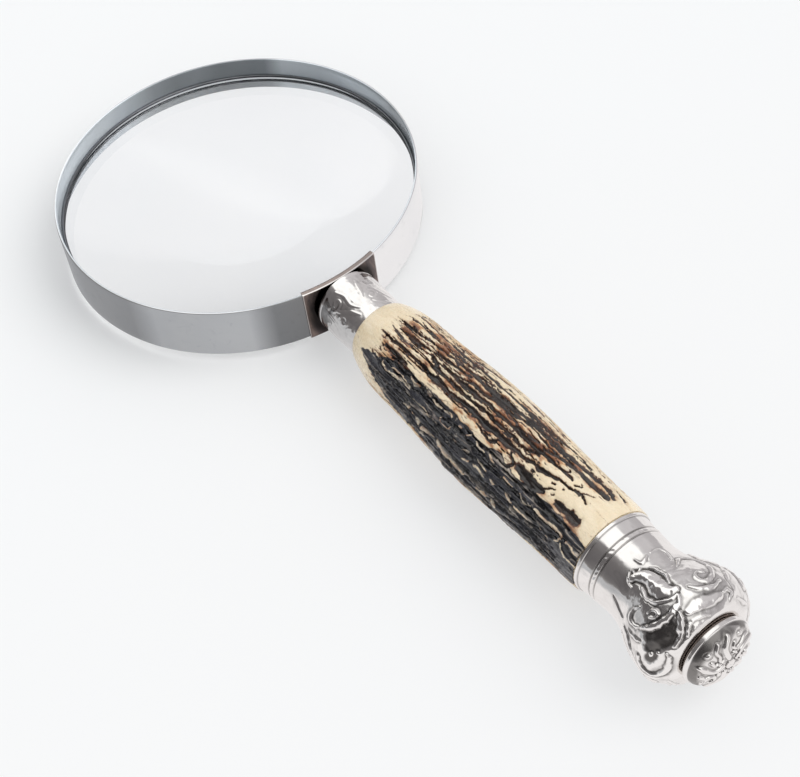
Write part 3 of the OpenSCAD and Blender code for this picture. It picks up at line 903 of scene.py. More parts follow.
# Pale ridges left standing in that zone: points (x, degrees, width factor), half width
RIDGES = [
    ([(90, 55, .6), (93, 57, 1.1), (96, 57.5, 1), (98.5, 55, .9), (101, 56, 1),
      (104, 56.5, .8)], .55),
    ([(108, 55, .7), (110, 55.6, 1.1), (112, 54.5, .7)], .5),
    ([(114, 57, .6), (115.5, 54, 1.1), (117.5, 52.5, .8)], .5),
    ([(119, 53, .7), (120.5, 55, 1.1), (122.5, 56, .7)], .5),
    ([(90, 38.5, .6), (92.5, 41, 1.2), (95, 38.5, 1.2), (98, 37.5, 1.2), (101, 40, 1.1),
      (103.5, 39, 1.1), (107, 37.5, .8)], .6),
    ([(109, 39.5, .8), (111, 38, 1.2)], .55),
    ([(113.4, 40, .9), (114.2, 36.5, 1.3)], .5),
    ([(116.5, 37, .8), (118.5, 39.5, 1.2), (120.5, 40, .9)], .55),
    ([(122.2, 38, 1), (123.2, 42, 1.4), (124.2, 41, .8)], .7),
    ([(80.5, 47, .8), (81, 51, 1), (83, 52, .8), (86, 50.5, 1), (88, 47.5, .9), (91.5, 48.5, .8),
      (90, 45.5, .7), (86, 44, .8), (84, 46.5, .7)], .55),
    ([(84.5, 54, .4), (87, 51, .5)], .5),
    ([(104, 45, .6), (105, 48.5, .8), (107.5, 49.5, .8), (108.5, 46, .6)], .45),
    ([(127, 50, .8), (128, 47, 1.2), (131.5, 46.3, .9)], .5),
    ([(124, 60.5, .6), (126, 62, .8), (129, 61, .7), (131.5, 61.5, 1.1), (134, 65, 1.2),
      (136, 66, 1), (139, 64.5, .9)], .55),
    ([(134.5, 48, .7), (136, 52.5, 1), (137.5, 52, .7), (138.5, 49, .7)], .5),
    ([(140, 48.5, 1.6), (143, 50, 1.9), (146, 49.2, 1.7), (149, 51, 1.3)], .75),
    ([(142, 60, .8), (144, 64, 1.1), (147, 64.5, 1.1), (148.5, 60, .9), (149, 54, .9),
      (152, 53, 1.1), (155.5, 56, 1.1)], .6),
    ([(149.5, 58, .8), (150.5, 65, 1), (153, 69, 1.1), (155.6, 72, 1.2)], .6),
    ([(143, 26.5, .4), (147, 32.5, .7), (150.5, 32, .7)], .4),
    ([(92, 72, 1), (94, 70, 1.3), (98, 74, 1.2), (101, 76, 1.2), (105, 73, 1), (107, 76, 1.1),
      (110, 79, 1.4), (114, 80, 1.2), (117, 81, 1)], .8),
    ([(115, 66, .7), (117, 62, .9), (120, 60.5, .9), (123, 63, .7)], .7),
    ([(121, 84, 1), (124, 81, 1.4), (127, 83, 1.2), (129, 86, 1)], .7),
]


def wandering_furrows(rng):
    """Long furrows scattered over the FILLS, some forking."""
    strokes = []
    for turn, turn_end, spacing, wide, x_low, x_high in FILLS:
        while turn < turn_end:
            x = x_low + rng.rand() * 8
            while x < x_high - 3:
                length = 12 + rng.rand() * 34
                end = min(x + length, x_high - rng.rand() * 3)
                count = max(3, int((end - x) / 4))
                drift = (rng.rand() - 0.5) * 3.4
                wobble = np.cumsum(rng.randn(count)) * 0.55
                points = [(x + (end - x) * t, turn + drift * t + sway,
                           0.45 + 0.75 * math.sin(math.pi * min(1, t + 0.08))
                           * (0.5 + 0.8 * rng.rand()))
                          for t, sway in zip(np.linspace(0, 1, count), wobble)]
                strokes.append((points, wide * (0.75 + 0.5 * rng.rand())))
                if rng.rand() < 0.5 and count > 4:
                    fork = points[count // 2]
                    side = 1 if rng.rand() < 0.5 else -1
                    strokes.append(([(fork[0] + 2.6 * i, fork[1] + side * 2.2 * i, 0.9 - 0.15 * i)
                                     for i in range(4)], wide * 0.7))
                x = end + 1 + rng.rand() * 7
            turn += spacing * (0.8 + 0.4 * rng.rand())
    return strokes


def far_ridges(rng):
    """Short ridges scattered over the far weathered strip."""
    out = []
    for _ in range(16):
        x = 78 + rng.rand() * 62
        turn = 216 + rng.rand() * 42
        out.append(([(x + 2.6 * i, turn + rng.randn() * 1.6, 0.6 + 0.6 * rng.rand())
                     for i in range(4 + int(rng.rand() * 3))], 0.5))
    return out


def grip_surface(sheet):
    """Height of the antler's surface, and the masks that colour it."""
    x, noise = sheet.x, sheet.noise
    turn = np.where(sheet.turn > 292, sheet.turn - 360, sheet.turn)
    warp_s = 0.9 * noise(3.4, 51, pull=0.5) + 0.35 * noise(1.3, 52)
    warp_u = (0.36 * noise(2.6, 53, pull=0.4) + 0.26 * noise(1.2, 54, pull=0.7)
              + 0.14 * noise(0.65, 55))
    rng = np.random.RandomState(11)
    # the longer drawn furrows have their width factor held to 1.3
    furrows = [([(s, t, min(w, 1.3)) for s, t, w in points] if len(points) > 5 else points, width)
               for points, width in FURROWS] + wandering_furrows(rng)
    depth = np.zeros(x.shape)
    vary = np.clip(1 + 0.38 * noise(1.7, 58, pull=0.35) + 0.25 * noise(0.8, 59), 0.45, 2)
    for region, d, (_, width) in sheet.near(furrows, (warp_s, warp_u), 3.4, width_scale=0.76):
        g = np.exp(-(d * 0.9 / vary[region]) ** 2.2)
        depth[region] = np.maximum(depth[region], g * min(1.0, 0.55 + width * 0.75))

    def split(cell, pull, seed, width):
        """Lines along the grain, where a drawn-out noise passes zero."""
        q = sheet.points * [pull, 1, 1] + 0.5 * np.stack([warp_u, warp_u, -warp_u], -1)
        n = noise3(q, cell, seed) + 0.45 * noise3(q, cell * 0.5, seed + 1)
        return np.exp(-np.abs(n / width) ** 1.6)

    # where splits may run: not on the smooth ends nor on a clean patch on top
    nose = smooth(GRIP_START + 5.0, GRIP_START + 12.5, x + 1.6 * noise(4.0, 50))
    clean = (smooth(134, 141, x + 2.0 * noise(3, 49)) * smooth(-13, -7, turn)
             * (1 - smooth(24, 29, turn)))
    end = 1 - smooth(148, 152.5, x + 1.2 * noise(3, 48))
    room = nose * (1 - clean)
    split1 = (split(2.1, 0.12, 101, 0.15) * smooth(-0.25, 0.3, noise(4.5, 47, pull=0.22))
              * room * end)
    split2 = (split(1.2, 0.15, 111, 0.15) * smooth(-0.3, 0.25, noise(3.0, 46, pull=0.3))
              * room * end)
    split3 = split(0.8, 0.24, 121, 0.2) * room * end

    # the weathered zone, and a second strip on the far side
    jag = (warp_u + 0.5 * noise(1.0, 57, pull=0.5)) * 4.2
    ragged = turn + jag
    zone = (smooth(-1.4, 1.6, ragged - lookup(ZONE_LOW, x))
            * (1 - smooth(-2.0, 2.2, ragged - lookup(ZONE_HIGH, x))) * (turn < 130))
    far_low = (212 + 5 * np.sin(x * 0.12)
               + 7 * noise3(sheet.points * [0.3, 0, 0] + [0, 3, 3], 4, 60))
    far_high = 262 + 6 * np.sin(x * 0.1 + 2)
    far = (smooth(-2, 2, ragged - far_low) * (1 - smooth(-2, 2, ragged - far_high))
           * smooth(74, 79, x) * (1 - smooth(146, 151, x)))
    zone = np.maximum(zone, far)
    ridge = np.zeros(x.shape)
    calmer = (warp_s * 0.9, warp_u * 0.9)
    for region, d, _ in sheet.near(RIDGES + far_ridges(rng), calmer, 2.8, width_scale=0.5):
        ridge[region] = np.maximum(ridge[region], np.exp(-(d * 0.95) ** 2.2))
    ridge = ridge * smooth(-0.75, -0.25, noise(1.5, 45))

    # inside the zone: lumps, pits and lean crests along the grain
    lump = sheet.fbm(2.6, 71, 4, pull=0.4)
    pits = smooth(0.2, 0.6, noise(1.0, 77, pull=0.6))
    crest1 = split(2.0, 0.11, 131, 0.16) * smooth(-0.5, 0.0, noise(3.2, 44, pull=0.3))
    crest2 = split(1.2, 0.16, 141, 0.15) * smooth(-0.25, 0.15, noise(2.2, 43, pull=0.4))
    long_grain = sheet.fbm(0.9, 81, 3, pull=0.12)
    sunk = (zone * (0.52 + 0.34 * lump + 0.22 * pits) * (1 - 0.85 * ridge)
            - 0.62 * zone * crest1 - 0.36 * zone * crest2)
    amp = (smooth(GRIP_START + 5.5, GRIP_START + 10, x)
           * (1 - 0.85 * smooth(150.5, 153.5, x) * (turn < -20)))
    fine = np.maximum(0.62 * split1, np.maximum(0.42 * split2, 0.22 * split3)) * (1 - 0.6 * zone)
    swell = 0.22 * sheet.fbm(7, 91, 2, pull=0.35) + 0.18 * noise(3.2, 92, pull=0.2)
    swell = (swell * smooth(GRIP_START + 3, GRIP_START + 12, x)
             * (1 - 0.6 * smooth(148, 154, x)) * (1 - 0.7 * clean))
    height = -0.82 * depth - 0.62 * sunk + 0.16 * ridge * zone - 0.5 * fine
    height = (height + 0.07 * long_grain * (0.5 + depth + zone)) * amp + swell
    height = np.clip(height, -1.35, 0.42)
    height[0] = 0

    # masks: dark furrow floors, the charred zone, and the stain that spreads round both
    deep = np.maximum(depth, np.maximum(0.7 * split1, 0.5 * split2))
    dark = np.clip(smooth(0.15, 0.7, deep + 0.14 * lump + 0.10 * long_grain) * amp, 0, 1)
    char = (np.clip(zone * (1 - smooth(0.35, 0.75, ridge + 0.12 * lump)), 0, 1)
            * smooth(GRIP_START + 3.5, GRIP_START + 7, x))
    source = np.maximum(np.maximum(depth, 0.8 * split1), 0.8 * zone)
    halo = np.clip(blur(source, 3.2, 3.2) * 1.9 - 0.08, 0, 1)
    blot = sheet.fbm(2.4, 95, 4, pull=0.45)
    blot2 = sheet.fbm(1.5, 97, 4, pull=0.4)
    warm = (smooth(72, 80, x) * (1 - smooth(134, 142, x)) * smooth(-40, -22, turn)
            * (1 - smooth(28, 36, turn)))
    stain = np.clip(halo * (0.5 + 0.9 * blot + 0.7 * blot2)
                    + 0.6 * smooth(0.05, 0.4, blot2 + 0.6 * blot) * warm, 0, 1)
    stain = stain * (1 - 0.8 * clean) * smooth(GRIP_START + 4, GRIP_START + 9, x)
    return height, {"dark": dark, "char": char, "stain": stain, "ridge": ridge * zone,
                    "crest": np.maximum(crest1, 0.7 * crest2) * zone, "open": room * end}


def make_grip():
    """The antler, with a tenon at its +X end, a bore for the rod and a socket at its -X end."""
    x = np.concatenate([GRIP_START + np.linspace(0.06, 6.5, 34),
                        np.linspace(GRIP_START + 6.8, GRIP_END, 264)])
    outer = np.c_[x, grip_radius(x)]
    height, masks = grip_surface(Sheet(outer, 312, mean_radius=12.4))
    tenon, bore, plug = 9.6, 2.6, 4.55
    sleeve = SLEEVE_RADIUS + 0.02
    socket = box("threaded_socket")[1][0]
    tail = [(GRIP_END + 0.02, 11.0), (GRIP_END + 0.02, tenon + 0.2), (GRIP_END + 0.2, tenon),
            (TENON_END - 0.5, tenon), (TENON_END, tenon - 0.5), (TENON_END, bore + 0.2),
            (TENON_END - 0.3, bore)]
    inner = [(x, bore) for x in np.linspace(TENON_END - 5, socket + 0.4, 8)]
    front = [(socket + 0.3, bore), (socket + 0.3, plug), (FERRULE_END + 0.1, plug),
             (FERRULE_END + 0.1, sleeve), (GRIP_START + 0.3, sleeve), (GRIP_START, sleeve + 0.06)]
    return lathe("antler_grip", np.vstack([outer, tail, inner, front]), height, 70, masks)


def antler():
    mat = new_material("antler")
    vec = mat.coord()
    dark, char, stain, ridge, crest, opened = [
        mat.attr(name) for name in ("dark", "char", "stain", "ridge", "crest", "open")]
    grain = mat.noise(mat.mapping((0.14, 1, 1)), scale=1000, detail=5, roughness=0.62,
                      distortion=0.8)
    mottle = mat.noise(mat.mapping((0.5, 1, 1)), scale=240, detail=5, roughness=0.6,
                       distortion=1.0)
    fine = mat.noise(vec, scale=1500, detail=4, roughness=0.6, distortion=0.4)
    hair = mat.noise(mat.mapping((0.17, 1, 1)), scale=620, detail=3, roughness=0.55,
                     distortion=0.6)

    def shades(texture, start, stop, low, high):
        return mat.blend(srgb(*low), srgb(*high), texture, start, stop)

    def jitter(value, texture, start, stop, amount):
        shift = mat.remap(texture, start, stop, -amount, amount, clamp=False)
        return mat.math("ADD", value, shift)

    # hairline splits: the line where the stretched noise passes its middle
    off_middle = mat.math("ABSOLUTE", mat.math("SUBTRACT", hair, 0.5))
    line = mat.remap(off_middle, start=0.0, stop=0.028, low=1, high=0)
    line = mat.math("MULTIPLY", line, mat.remap(mottle, start=0.44, stop=0.56))
    line = mat.math("MULTIPLY", line, opened)
    # cream ground, stained tan and then rust
    cream = shades(mottle, 0.3, 0.7, (228, 208, 174), (242, 226, 198))
    cream = mat.blend(cream, srgb(208, 180, 140), grain, start=0.55, stop=0.75, amount=0.4)
    tan = shades(grain, 0.4, 0.6, (158, 104, 66), (222, 180, 132))
    rust = shades(grain, 0.38, 0.62, (92, 52, 34), (164, 104, 66))
    stained = jitter(stain, fine, 0.3, 0.7, amount=0.12)
    colour = mat.blend(cream, tan, stained, start=0.16, stop=0.6, amount=0.85)
    colour = mat.blend(colour, rust, stained, start=0.58, stop=0.9, amount=0.85)
    # furrows, brown at their sides and black at the floor
    brown = shades(mottle, 0.4, 0.66, (58, 34, 22), (122, 68, 38))
    black = shades(mottle, 0.35, 0.7, (20, 16, 15), (48, 36, 30))
    darkened = jitter(dark, fine, 0.3, 0.7, amount=0.2)
    darkened = jitter(darkened, grain, 0.35, 0.65, amount=0.16)
    furrow = mat.blend(brown, black, darkened, start=0.42, stop=0.78)
    colour = mat.blend(colour, furrow, darkened, start=0.16, stop=0.44)
    colour = mat.mix(mat.math("MULTIPLY", line, 0.85), colour, srgb(84, 48, 30))
    # the charred zone, with a painted highlight along its crests
    coal = shades(mottle, 0.35, 0.68, (17, 17, 20), (48, 48, 55))
    coal = mat.blend(coal, srgb(82, 80, 86), grain, start=0.5, stop=0.7, amount=0.5)
    # painted highlight: the crests of the charred zone paled towards cream
    pale = shades(grain, 0.4, 0.62, (104, 94, 90), (206, 192, 176))
    coal = mat.blend(coal, pale, crest, start=0.4, stop=0.9, amount=0.9)
    coal = mat.blend(coal, srgb(11, 11, 12), dark, start=0.2, stop=0.7, amount=0.8)
    charred = jitter(char, fine, 0.3, 0.7, amount=0.16)
    charred = jitter(charred, grain, 0.35, 0.65, amount=0.16)
    colour = mat.blend(colour, coal, charred, start=0.24, stop=0.55)
    # the ridges standing in it
    bone = shades(grain, 0.4, 0.62, (150, 134, 120), (222, 208, 186))
    standing = mat.math("MULTIPLY", mat.remap(ridge, start=0.5, stop=0.9, high=0.85),
                        mat.remap(fine, start=0.35, stop=0.55, low=0.4))
    colour = mat.mix(standing, colour, bone)
    hollow = mat.math("MAXIMUM", dark, char)
    gloss = mat.remap(hollow, start=0, stop=1, low=0.27, high=0.24)
    height = mat.math("ADD", mat.math("MULTIPLY", grain, 0.8), mat.math("MULTIPLY", fine, 0.4))
    height = mat.math("SUBTRACT", height, mat.math("MULTIPLY", line, 0.6))
    return mat.finish(mat.principled(
        Base_Color=colour, Roughness=jitter(gloss, fine, 0.3, 0.7, amount=0.07),
        Normal=mat.bump(height, distance=0.0002, strength=0.7), IOR=1.54,
        Subsurface_Weight=0.05, Subsurface_Radius=(0.0014, 0.0009, 0.0006),
        Coat_Weight=0.32, Coat_Roughness=0.16))


place(make_grip(), antler(), "handle", "grip")

# ---------------------------------------------------------------- pommel collar

# (mm from the collar's start, mm below its full radius)
COLLAR_STEPS = [
    (0, .22), (.05, .08), (.2, 0), (.6, 0), (.85, .12), (1, .36), (4.2, .75), (4.32, 1),
    (4.52, 1.02), (4.7, .74), (5, .66), (5.35, .68), (5.6, .8), (5.8, 1.08), (6.02, 1.1)]
# Tarnished grooves: mm from the collar's start, width, darkness
COLLAR_GROOVES = [(4.42, .2, .75), (5.92, .22, .75), (1.05, .16, .6)]


def make_collar():
    outer = resample([(COLLAR_START + x, COLLAR_RADIUS - drop) for x, drop in COLLAR_STEPS]
                     + [(COLLAR_START + 6.2, 10.63), (COLLAR_END - 0.05, 10.58)], 0.07)
    sheet = Sheet(outer, 480, mean_radius=11.6)
    x = sheet.x - COLLAR_START
    band = smooth(1.1, 1.5, x) * (1 - smooth(3.8, 4.2, x))
    height = band * (0.05 * sheet.noise(1.3, 5, pull=0.35) + 0.035 * sheet.noise(2.4, 6))
    # soft nicks along the second ring and the bead at the -X end
    ring = np.exp(-((x - 5.15) / 0.42) ** 2)
    nicks = np.sin(np.radians(sheet.turn) * 46 + 2.2 * sheet.noise(4, 7) + x * 3.0)
    height += ring * 0.07 * nicks * (0.6 + 0.4 * sheet.noise(2.2, 9))
    bead = np.exp(-((x - 0.4) / 0.5) ** 2)
    height += bead * 0.03 * sheet.noise(1.7, 12)
    cavity = hollows(outer[:, 1:] + height, 5, 1, gain=3.0)
    for at, width, darkness in COLLAR_GROOVES:
        cavity = np.maximum(cavity, darkness * np.exp(-((x - at) / width) ** 2))
    tail = [(COLLAR_END, 10.55), (COLLAR_END, 9.1), (COLLAR_END - 0.1, 9.0),
            (TENON_END + 0.12, 9.0), (TENON_END + 0.12, 9.62), (COLLAR_START + 2, 9.63),
            (COLLAR_START + 0.05, 9.64), (COLLAR_START, 9.7)]
    return lathe("pommel_collar_beaded", np.vstack([outer, tail]), height, 60, {"cav": cavity})


place(make_collar(), silver, "handle", "pommel_collar")

# ---------------------------------------------------------------- pommel shell


def shell_radius(x):
    """A slight taper to the waist, a swell to the bulb, then a round-over."""
    x = np.asarray(x, float)
    waist, end = 10.45, 9.8
    taper = ease(waist + 0.15, waist, (x - SHELL_START) / (WAIST_X - SHELL_START))
    swell = ease(waist, BULB_RADIUS, np.clip((x - WAIST_X) / (BULB_X - WAIST_X), 0, 1) ** 1.12)
    fall = np.clip(np.cos(np.pi / 2 * (x - BULB_X) / 6.6), 0, 1) ** 0.7
    over = end + (BULB_RADIUS - end) * fall
    return np.where(x < WAIST_X, taper, np.where(x < BULB_X, swell, over))


# Points (mm from the collar's start, degrees, width factor), half width, height, kind.
# All of it is repeated on the opposite side.
ORNAMENT = [
    ([(26.2, 53), (27.6, 44), (29.2, 36)], 2.1, -.5, "dish"),
    ([(27.7, 64), (29, 55), (30.2, 44)], 2, -.5, "dish"),
    ([(28, 76), (28.8, 70)], 1.7, -.45, "dish"),
    ([(9.8, 40), (14, 46), (17, 44)], 1.6, -.06, "dish"),
    ([(29.3, 16, .7), (29.4, 5, 1.2), (30.1, -7, 1.2), (30.2, -20, .7)], 1.15, .34, "dome"),
    ([(13, 33, .4), (13.9, 23, .8), (16.5, 17, 1.15), (19.8, 18, 1.3), (22.3, 17, 1),
      (23.8, 10, .5)], 1.8, .72, "dome"),
    ([(15, 121, .5), (19, 128, 1.1), (23, 132, .7)], 1, .4, "dome"),
    ([(16.9, 30, .6), (19.7, 33, 1), (22.5, 29, 1.1), (24.5, 21, 1), (25, 12, .6)],
     .44, .46, "ridge"),
    ([(14.4, 8, .6), (16.2, 4, 1), (19, 4, 1), (21.3, 8, .6)], .36, .36, "ridge"),
    ([(10.4, 12, .6), (11.8, 10, 1), (12, 4, 1), (11.3, -3, .6)], .36, .3, "ridge"),
    ([(12.8, 15, .7), (13.4, 23, 1), (12.1, 23, .8)], .34, .3, "ridge"),
    ([(11.6, 28, .6), (12.6, 35, 1), (14.4, 38, .7)], .36, .32, "ridge"),
    ([(11.2, -9, .5), (11.4, -21, .9), (13.2, -25, .9), (15.9, -19, .5)], .32, .22, "ridge"),
    ([(19.9, 44, .6), (18.6, 53, 1.1), (19.3, 62, 1.2), (21.8, 60, 1), (24, 52, .6)],
     .46, .46, "ridge"),
    ([(23.1, 57, .6), (25.6, 46, 1.1), (27, 35, 1.2), (27.1, 26, 1.1), (26.5, 19, .7)],
     .52, .55, "ridge"),
    ([(22.5, 41, .8), (23.5, 35, 1.1), (25, 35, 1), (24.9, 40, .8), (23.6, 43, .7)],
     .36, .42, "ridge"),
    ([(28.3, 70), (28.35, 70.4)], .6, .2, "dome"),
    ([(29.4, 65), (29.45, 65.4)], .5, .16, "dome"),
    ([(25.1, 80, .6), (26.5, 89, 1.1), (28.6, 94, 1.3), (30.5, 92, 1.3), (31.6, 81, 1.2),
      (31.5, 67, .9), (30.9, 61, .6)], .52, .55, "ridge"),
    ([(23.6, 90, .5), (25.4, 98, .9), (28, 103, 1), (30.4, 103, .6)], .38, .3, "ridge"),
    ([(28.2, 22, .7), (30.1, 28, 1.1), (31.2, 40, 1.1), (31.4, 50, .7)], .46, .46, "ridge"),
    ([(31.9, 34, .7), (31.2, 27, 1), (31, 17, 1), (31.6, 6, .9), (32.1, 1, .6)],
     .38, .3, "ridge"),
    ([(18.7, -12, .5), (16.8, -24, .9), (17.6, -34, 1), (20.4, -38, 1.1), (23.6, -33, 1.1),
      (26.1, -24, 1.1), (26, -14, 1), (24.4, -11, .9), (23, -17, .8), (23.8, -22, .7)],
     .4, .34, "ridge"),
    ([(25.2, 0, .6), (27.1, -5, 1), (28.1, -17, 1.1), (27.6, -29, .6)], .42, .38, "ridge"),
    ([(24, -48, .6), (26, -43, 1), (28, -38, 1), (30.1, -42, .7)], .38, .34, "ridge"),
    ([(29.8, -24, .7), (29.7, -31, 1), (30.6, -36, 1), (31.4, -30, .7)], .38, .36, "ridge"),
    ([(31.3, -44, .6), (31.8, -56, 1), (31.6, -70, .6)], .42, .3, "ridge"),
    ([(11.6, 65, .5), (14.2, 71, 1), (16.7, 73, .7)], .38, .3, "ridge"),
    ([(18.3, 78, .6), (21, 80, 1.1), (23, 90, .7)], .44, .42, "ridge"),
    ([(20, 72, .6), (22.5, 70, 1), (24.6, 66, .7)], .38, .36, "ridge"),
    ([(25.1, 12, .7), (26.7, 16, 1), (27.3, 22, .7)], .42, .4, "ridge"),
    ([(20, 108, .6), (23, 118, 1), (27, 121, 1.1), (29.2, 115, 1), (28.2, 110, .8),
      (26.6, 112, .7)], .44, .42, "ridge"),
    ([(17.5, 92, .6), (19, 100, 1), (21.5, 103, .7)], .38, .34, "ridge"),
]


def make_shell():
    """The hollow pommel, embossed with the ornament."""
    x = np.concatenate([np.linspace(SHELL_START, BULB_X, 150),
                        BULB_X + 6.0 * np.sin(np.linspace(0, np.pi / 2, 46))[1:]])
    last = float(shell_radius(BULB_X + 6.0))
    outer = resample(np.vstack([np.c_[x, shell_radius(x)],
                                [(SHELL_END - 0.1, last - 0.6), (SHELL_END, last - 1.0)]]), 0.175)
    # rows are placed by distance along the outline, so the ornament keeps its width on the slope
    run = lengths(outer)
    rising_x = np.maximum.accumulate(outer[:, 0] + np.arange(len(outer)) * 1e-6)
    sheet = Sheet(outer, 500, mean_radius=13.4, along=run)
    strokes = [([(np.interp(COLLAR_START + x, rising_x, run), turn + side, *factor)
                 for x, turn, *factor in points], *shape)
               for points, *shape in ORNAMENT for side in (0, 180)]
    warp = (0.22 * sheet.noise(2.4, 61) + 0.10 * sheet.noise(0.9, 62),
            0.22 * sheet.noise(2.4, 63) + 0.10 * sheet.noise(0.9, 64))
    vary = np.clip(1.05 + 0.4 * sheet.noise(1.9, 70) + 0.2 * sheet.noise(0.9, 73), 0.5, 1.7)
    height = blur(relief(sheet, strokes, warp, vary), 0.6, 0.6)
    # uneven chasing, strongest on the bulb and on the raised parts
    bulb = smooth(WAIST_X + 3.5, WAIST_X + 9, sheet.x)
    nicks = 0.16 * sheet.fbm(1.6, 68, 3) * bulb * (0.45 + 0.55 * smooth(0.02, 0.25, height))
    height = height * (1 + 0.25 * sheet.noise(1.4, 69)) + nicks
    fade = (smooth(SHELL_START + 0.6, SHELL_START + 1.8, sheet.x)
            * (1 - smooth(run[-1] - 1.6, run[-1] - 0.7, sheet.along)))
    soft = 0.06 * sheet.fbm(3.0, 66, 2) + 0.02 * sheet.noise(0.8, 67)
    height = (height * 0.85 + soft * (0.35 + bulb)) * fade
    cavity = np.maximum(hollows(height, 6, 6, gain=4.6), hollows(height, 2.5, 2.5, gain=6.5))
    cavity = np.maximum(cavity, 0.97 * smooth(0.1, 0.3, -height))
    wall, hole = 0.7, 6.6
    tail = [(SHELL_END, hole + 0.15), (SHELL_END - 0.1, hole), (SHELL_END - wall, hole),
            (SHELL_END - wall, last - 1.0)]
    inner_x = np.concatenate([np.linspace(BULB_X + 5.3, BULB_X, 8),
                              np.linspace(BULB_X, SHELL_START, 16)[1:]])
    inner = np.c_[inner_x, shell_radius(inner_x) - wall - 0.03]
    return lathe("pommel_shell_embossed", np.vstack([outer, tail, inner]),
                 np.minimum(height, 0.66), 70, {"cav": cavity})


place(make_shell(), silver, "handle", "pommel_shell")

# ---------------------------------------------------------------- end boss

# Strokes repeated five times: points (mm from the axis, radians), half width, height, kind
BOSS_STROKES = [
    ([(2.2, 0), (4, .16), (6, .05), (7.6, -.12)], .75, .42, "dome"),
    ([(7.6, .25), (6.6, .42), (5.2, .5), (4.2, .72), (4.9, .92), (6, .86)], .42, .36, "ridge"),
    ([(3, .55), (3.4, .75), (3.1, .95)], .4, .3, "ridge"),
    ([(7.4, .62), (7.5, .7)], .42, .32, "dome"),
]


def boss_relief(points, shape):
    """Height of the strokes, laid out in the YZ plane."""
    strokes = []
    for k in range(5):
        base = 2 * math.pi * k / 5 + 0.35
        strokes += [([(r * math.cos(base + a), r * math.sin(base + a)) for r, a in line], *rest)
                    for line, *rest in BOSS_STROKES]
    strokes.append(([(0.0, 0.0), (0.05, 0.0)], 1.5, 0.45, "dome"))
    warp = 0.25 * np.stack([noise3(points, 2.0, 71), noise3(points, 2.0, 72)], -1)
    q = points[..., 1:3] + warp
    field = np.zeros(shape)
    for line, width, height, kind in strokes:
        curve = catmull(line, 0.2)
        best = np.full(shape, 1e9)
        for a, b in zip(curve[:-1], curve[1:]):
            ab = b - a
            t = np.clip(((q - a) @ ab) / (ab @ ab + 1e-9), 0, 1)
            best = np.minimum(best, np.linalg.norm(q - a - t[..., None] * ab, axis=-1))
        d = best / width
        if kind == "dome":
            g = np.clip(1 - d ** 2, 0, 1) ** 0.7
        else:
            g = np.exp(-(d * 1.1) ** 2.6)
        field = np.where(g > 0.4, np.maximum(field, height * g), field)
        field = field - 0.3 * height * np.exp(-((d - 1.5) * 2.6) ** 2)
    return field


def make_boss():
    """A domed cap with a plain rim; its dome is the last thing on the handle's axis."""
    start, rise, radius = BOSS_START, BOSS_END - BOSS_START, BOSS_RADIUS
    quarter = np.radians(90 * np.linspace(0, 1, 60)[1:-1])
    dome = np.c_[start + 1.35 + (rise - 1.35) * np.sin(quarter),
                 (radius - 0.4) * np.cos(quarter) ** 0.92]
    rim = [(start, 5.1), (start, radius - 0.45), (start + 0.1, radius - 0.15),
           (start + 0.35, radius), (start + 0.8, radius), (start + 1.05, radius - 0.08),
           (start + 1.2, radius - 0.35), (start + 1.35, radius - 0.4)]
    outer = np.vstack([resample(np.vstack([rim, dome]), 0.1), [(start + rise, 0.25)]])
    angle = full_turn(360)
    points = around_x(outer[:, :1], outer[:, 1:], angle)
    x = points[..., 0] - start
    fade = smooth(0.0, 0.5, x - 1.3)
    height = boss_relief(points, x.shape) * fade
    on_rim = (smooth(0.05, 0.25, x) * (1 - smooth(0.95, 1.15, x))
              * (outer[:, 1:] > radius - 1.5))
    height = height + 0.035 * on_rim * noise3(points, 1.1, 74)
    height = blur(height, 0.7, 0.7) + 0.03 * fbm(points, 2.2, 78, 2) * fade
    height[-3:] = height[-3:].mean()
    # tarnish at the dome's foot: in patches all round, and solid on one side
    patches = (smooth(1.1, 1.5, x) * (1 - smooth(2.6, 3.6, x))
               * smooth(-0.05, 0.3, noise3(points, 2.6, 81)))
    facing = 0.5 + 0.5 * np.cos(angle - math.radians(62)) + 0.25 * noise3(points, 2.0, 84)
    solid = smooth(1.2, 1.5, x) * (1 - smooth(3.0, 4.0, x)) * smooth(0.25, 0.75, facing)
    tarnish = np.maximum(patches, solid) * (1 - smooth(0.05, 0.2, height)) * 0.85
    cavity = np.maximum(hollows(height, 5, 4, gain=5.5), tarnish)
    height = np.minimum(height, 0.45)
    height[:4] = 0
    inner = [(start + rise - 0.8, 0.25), (start + rise - 1.0, 2.5), (start + rise - 1.6, 5.02),
             (start + 0.2, 5.02)]
    return lathe("end_boss_embossed", np.vstack([outer, inner]), height, 70, {"cav": cavity})


place(make_boss(), silver, "boss", "end_boss")


def make_washer():
    """A thin disc with a rounded, slightly uneven rim."""
    (low, _, _), (high, _, _) = box("boss_washer")
    profile = [(low + 0.01, 5.3), (low + 0.01, 8.3), (low + 0.05, 8.45), ((low + high) / 2, 8.5),
               (high - 0.05, 8.45), (high - 0.01, 8.3), (high - 0.01, 5.3)]
    angle = full_turn(128)
    ring = np.stack([0 * angle, 8 * np.cos(angle), 8 * np.sin(angle)], -1)
    on_rim = np.array([0, 0, 1, 1, 1, 0, 0])[:, None]
    return lathe("boss_washer_leather", profile, 0.03 * noise3(ring, 1.6, 83) * on_rim, 50)


washer = make_washer()

# ---------------------------------------------------------------- washer and kept CAD nodes


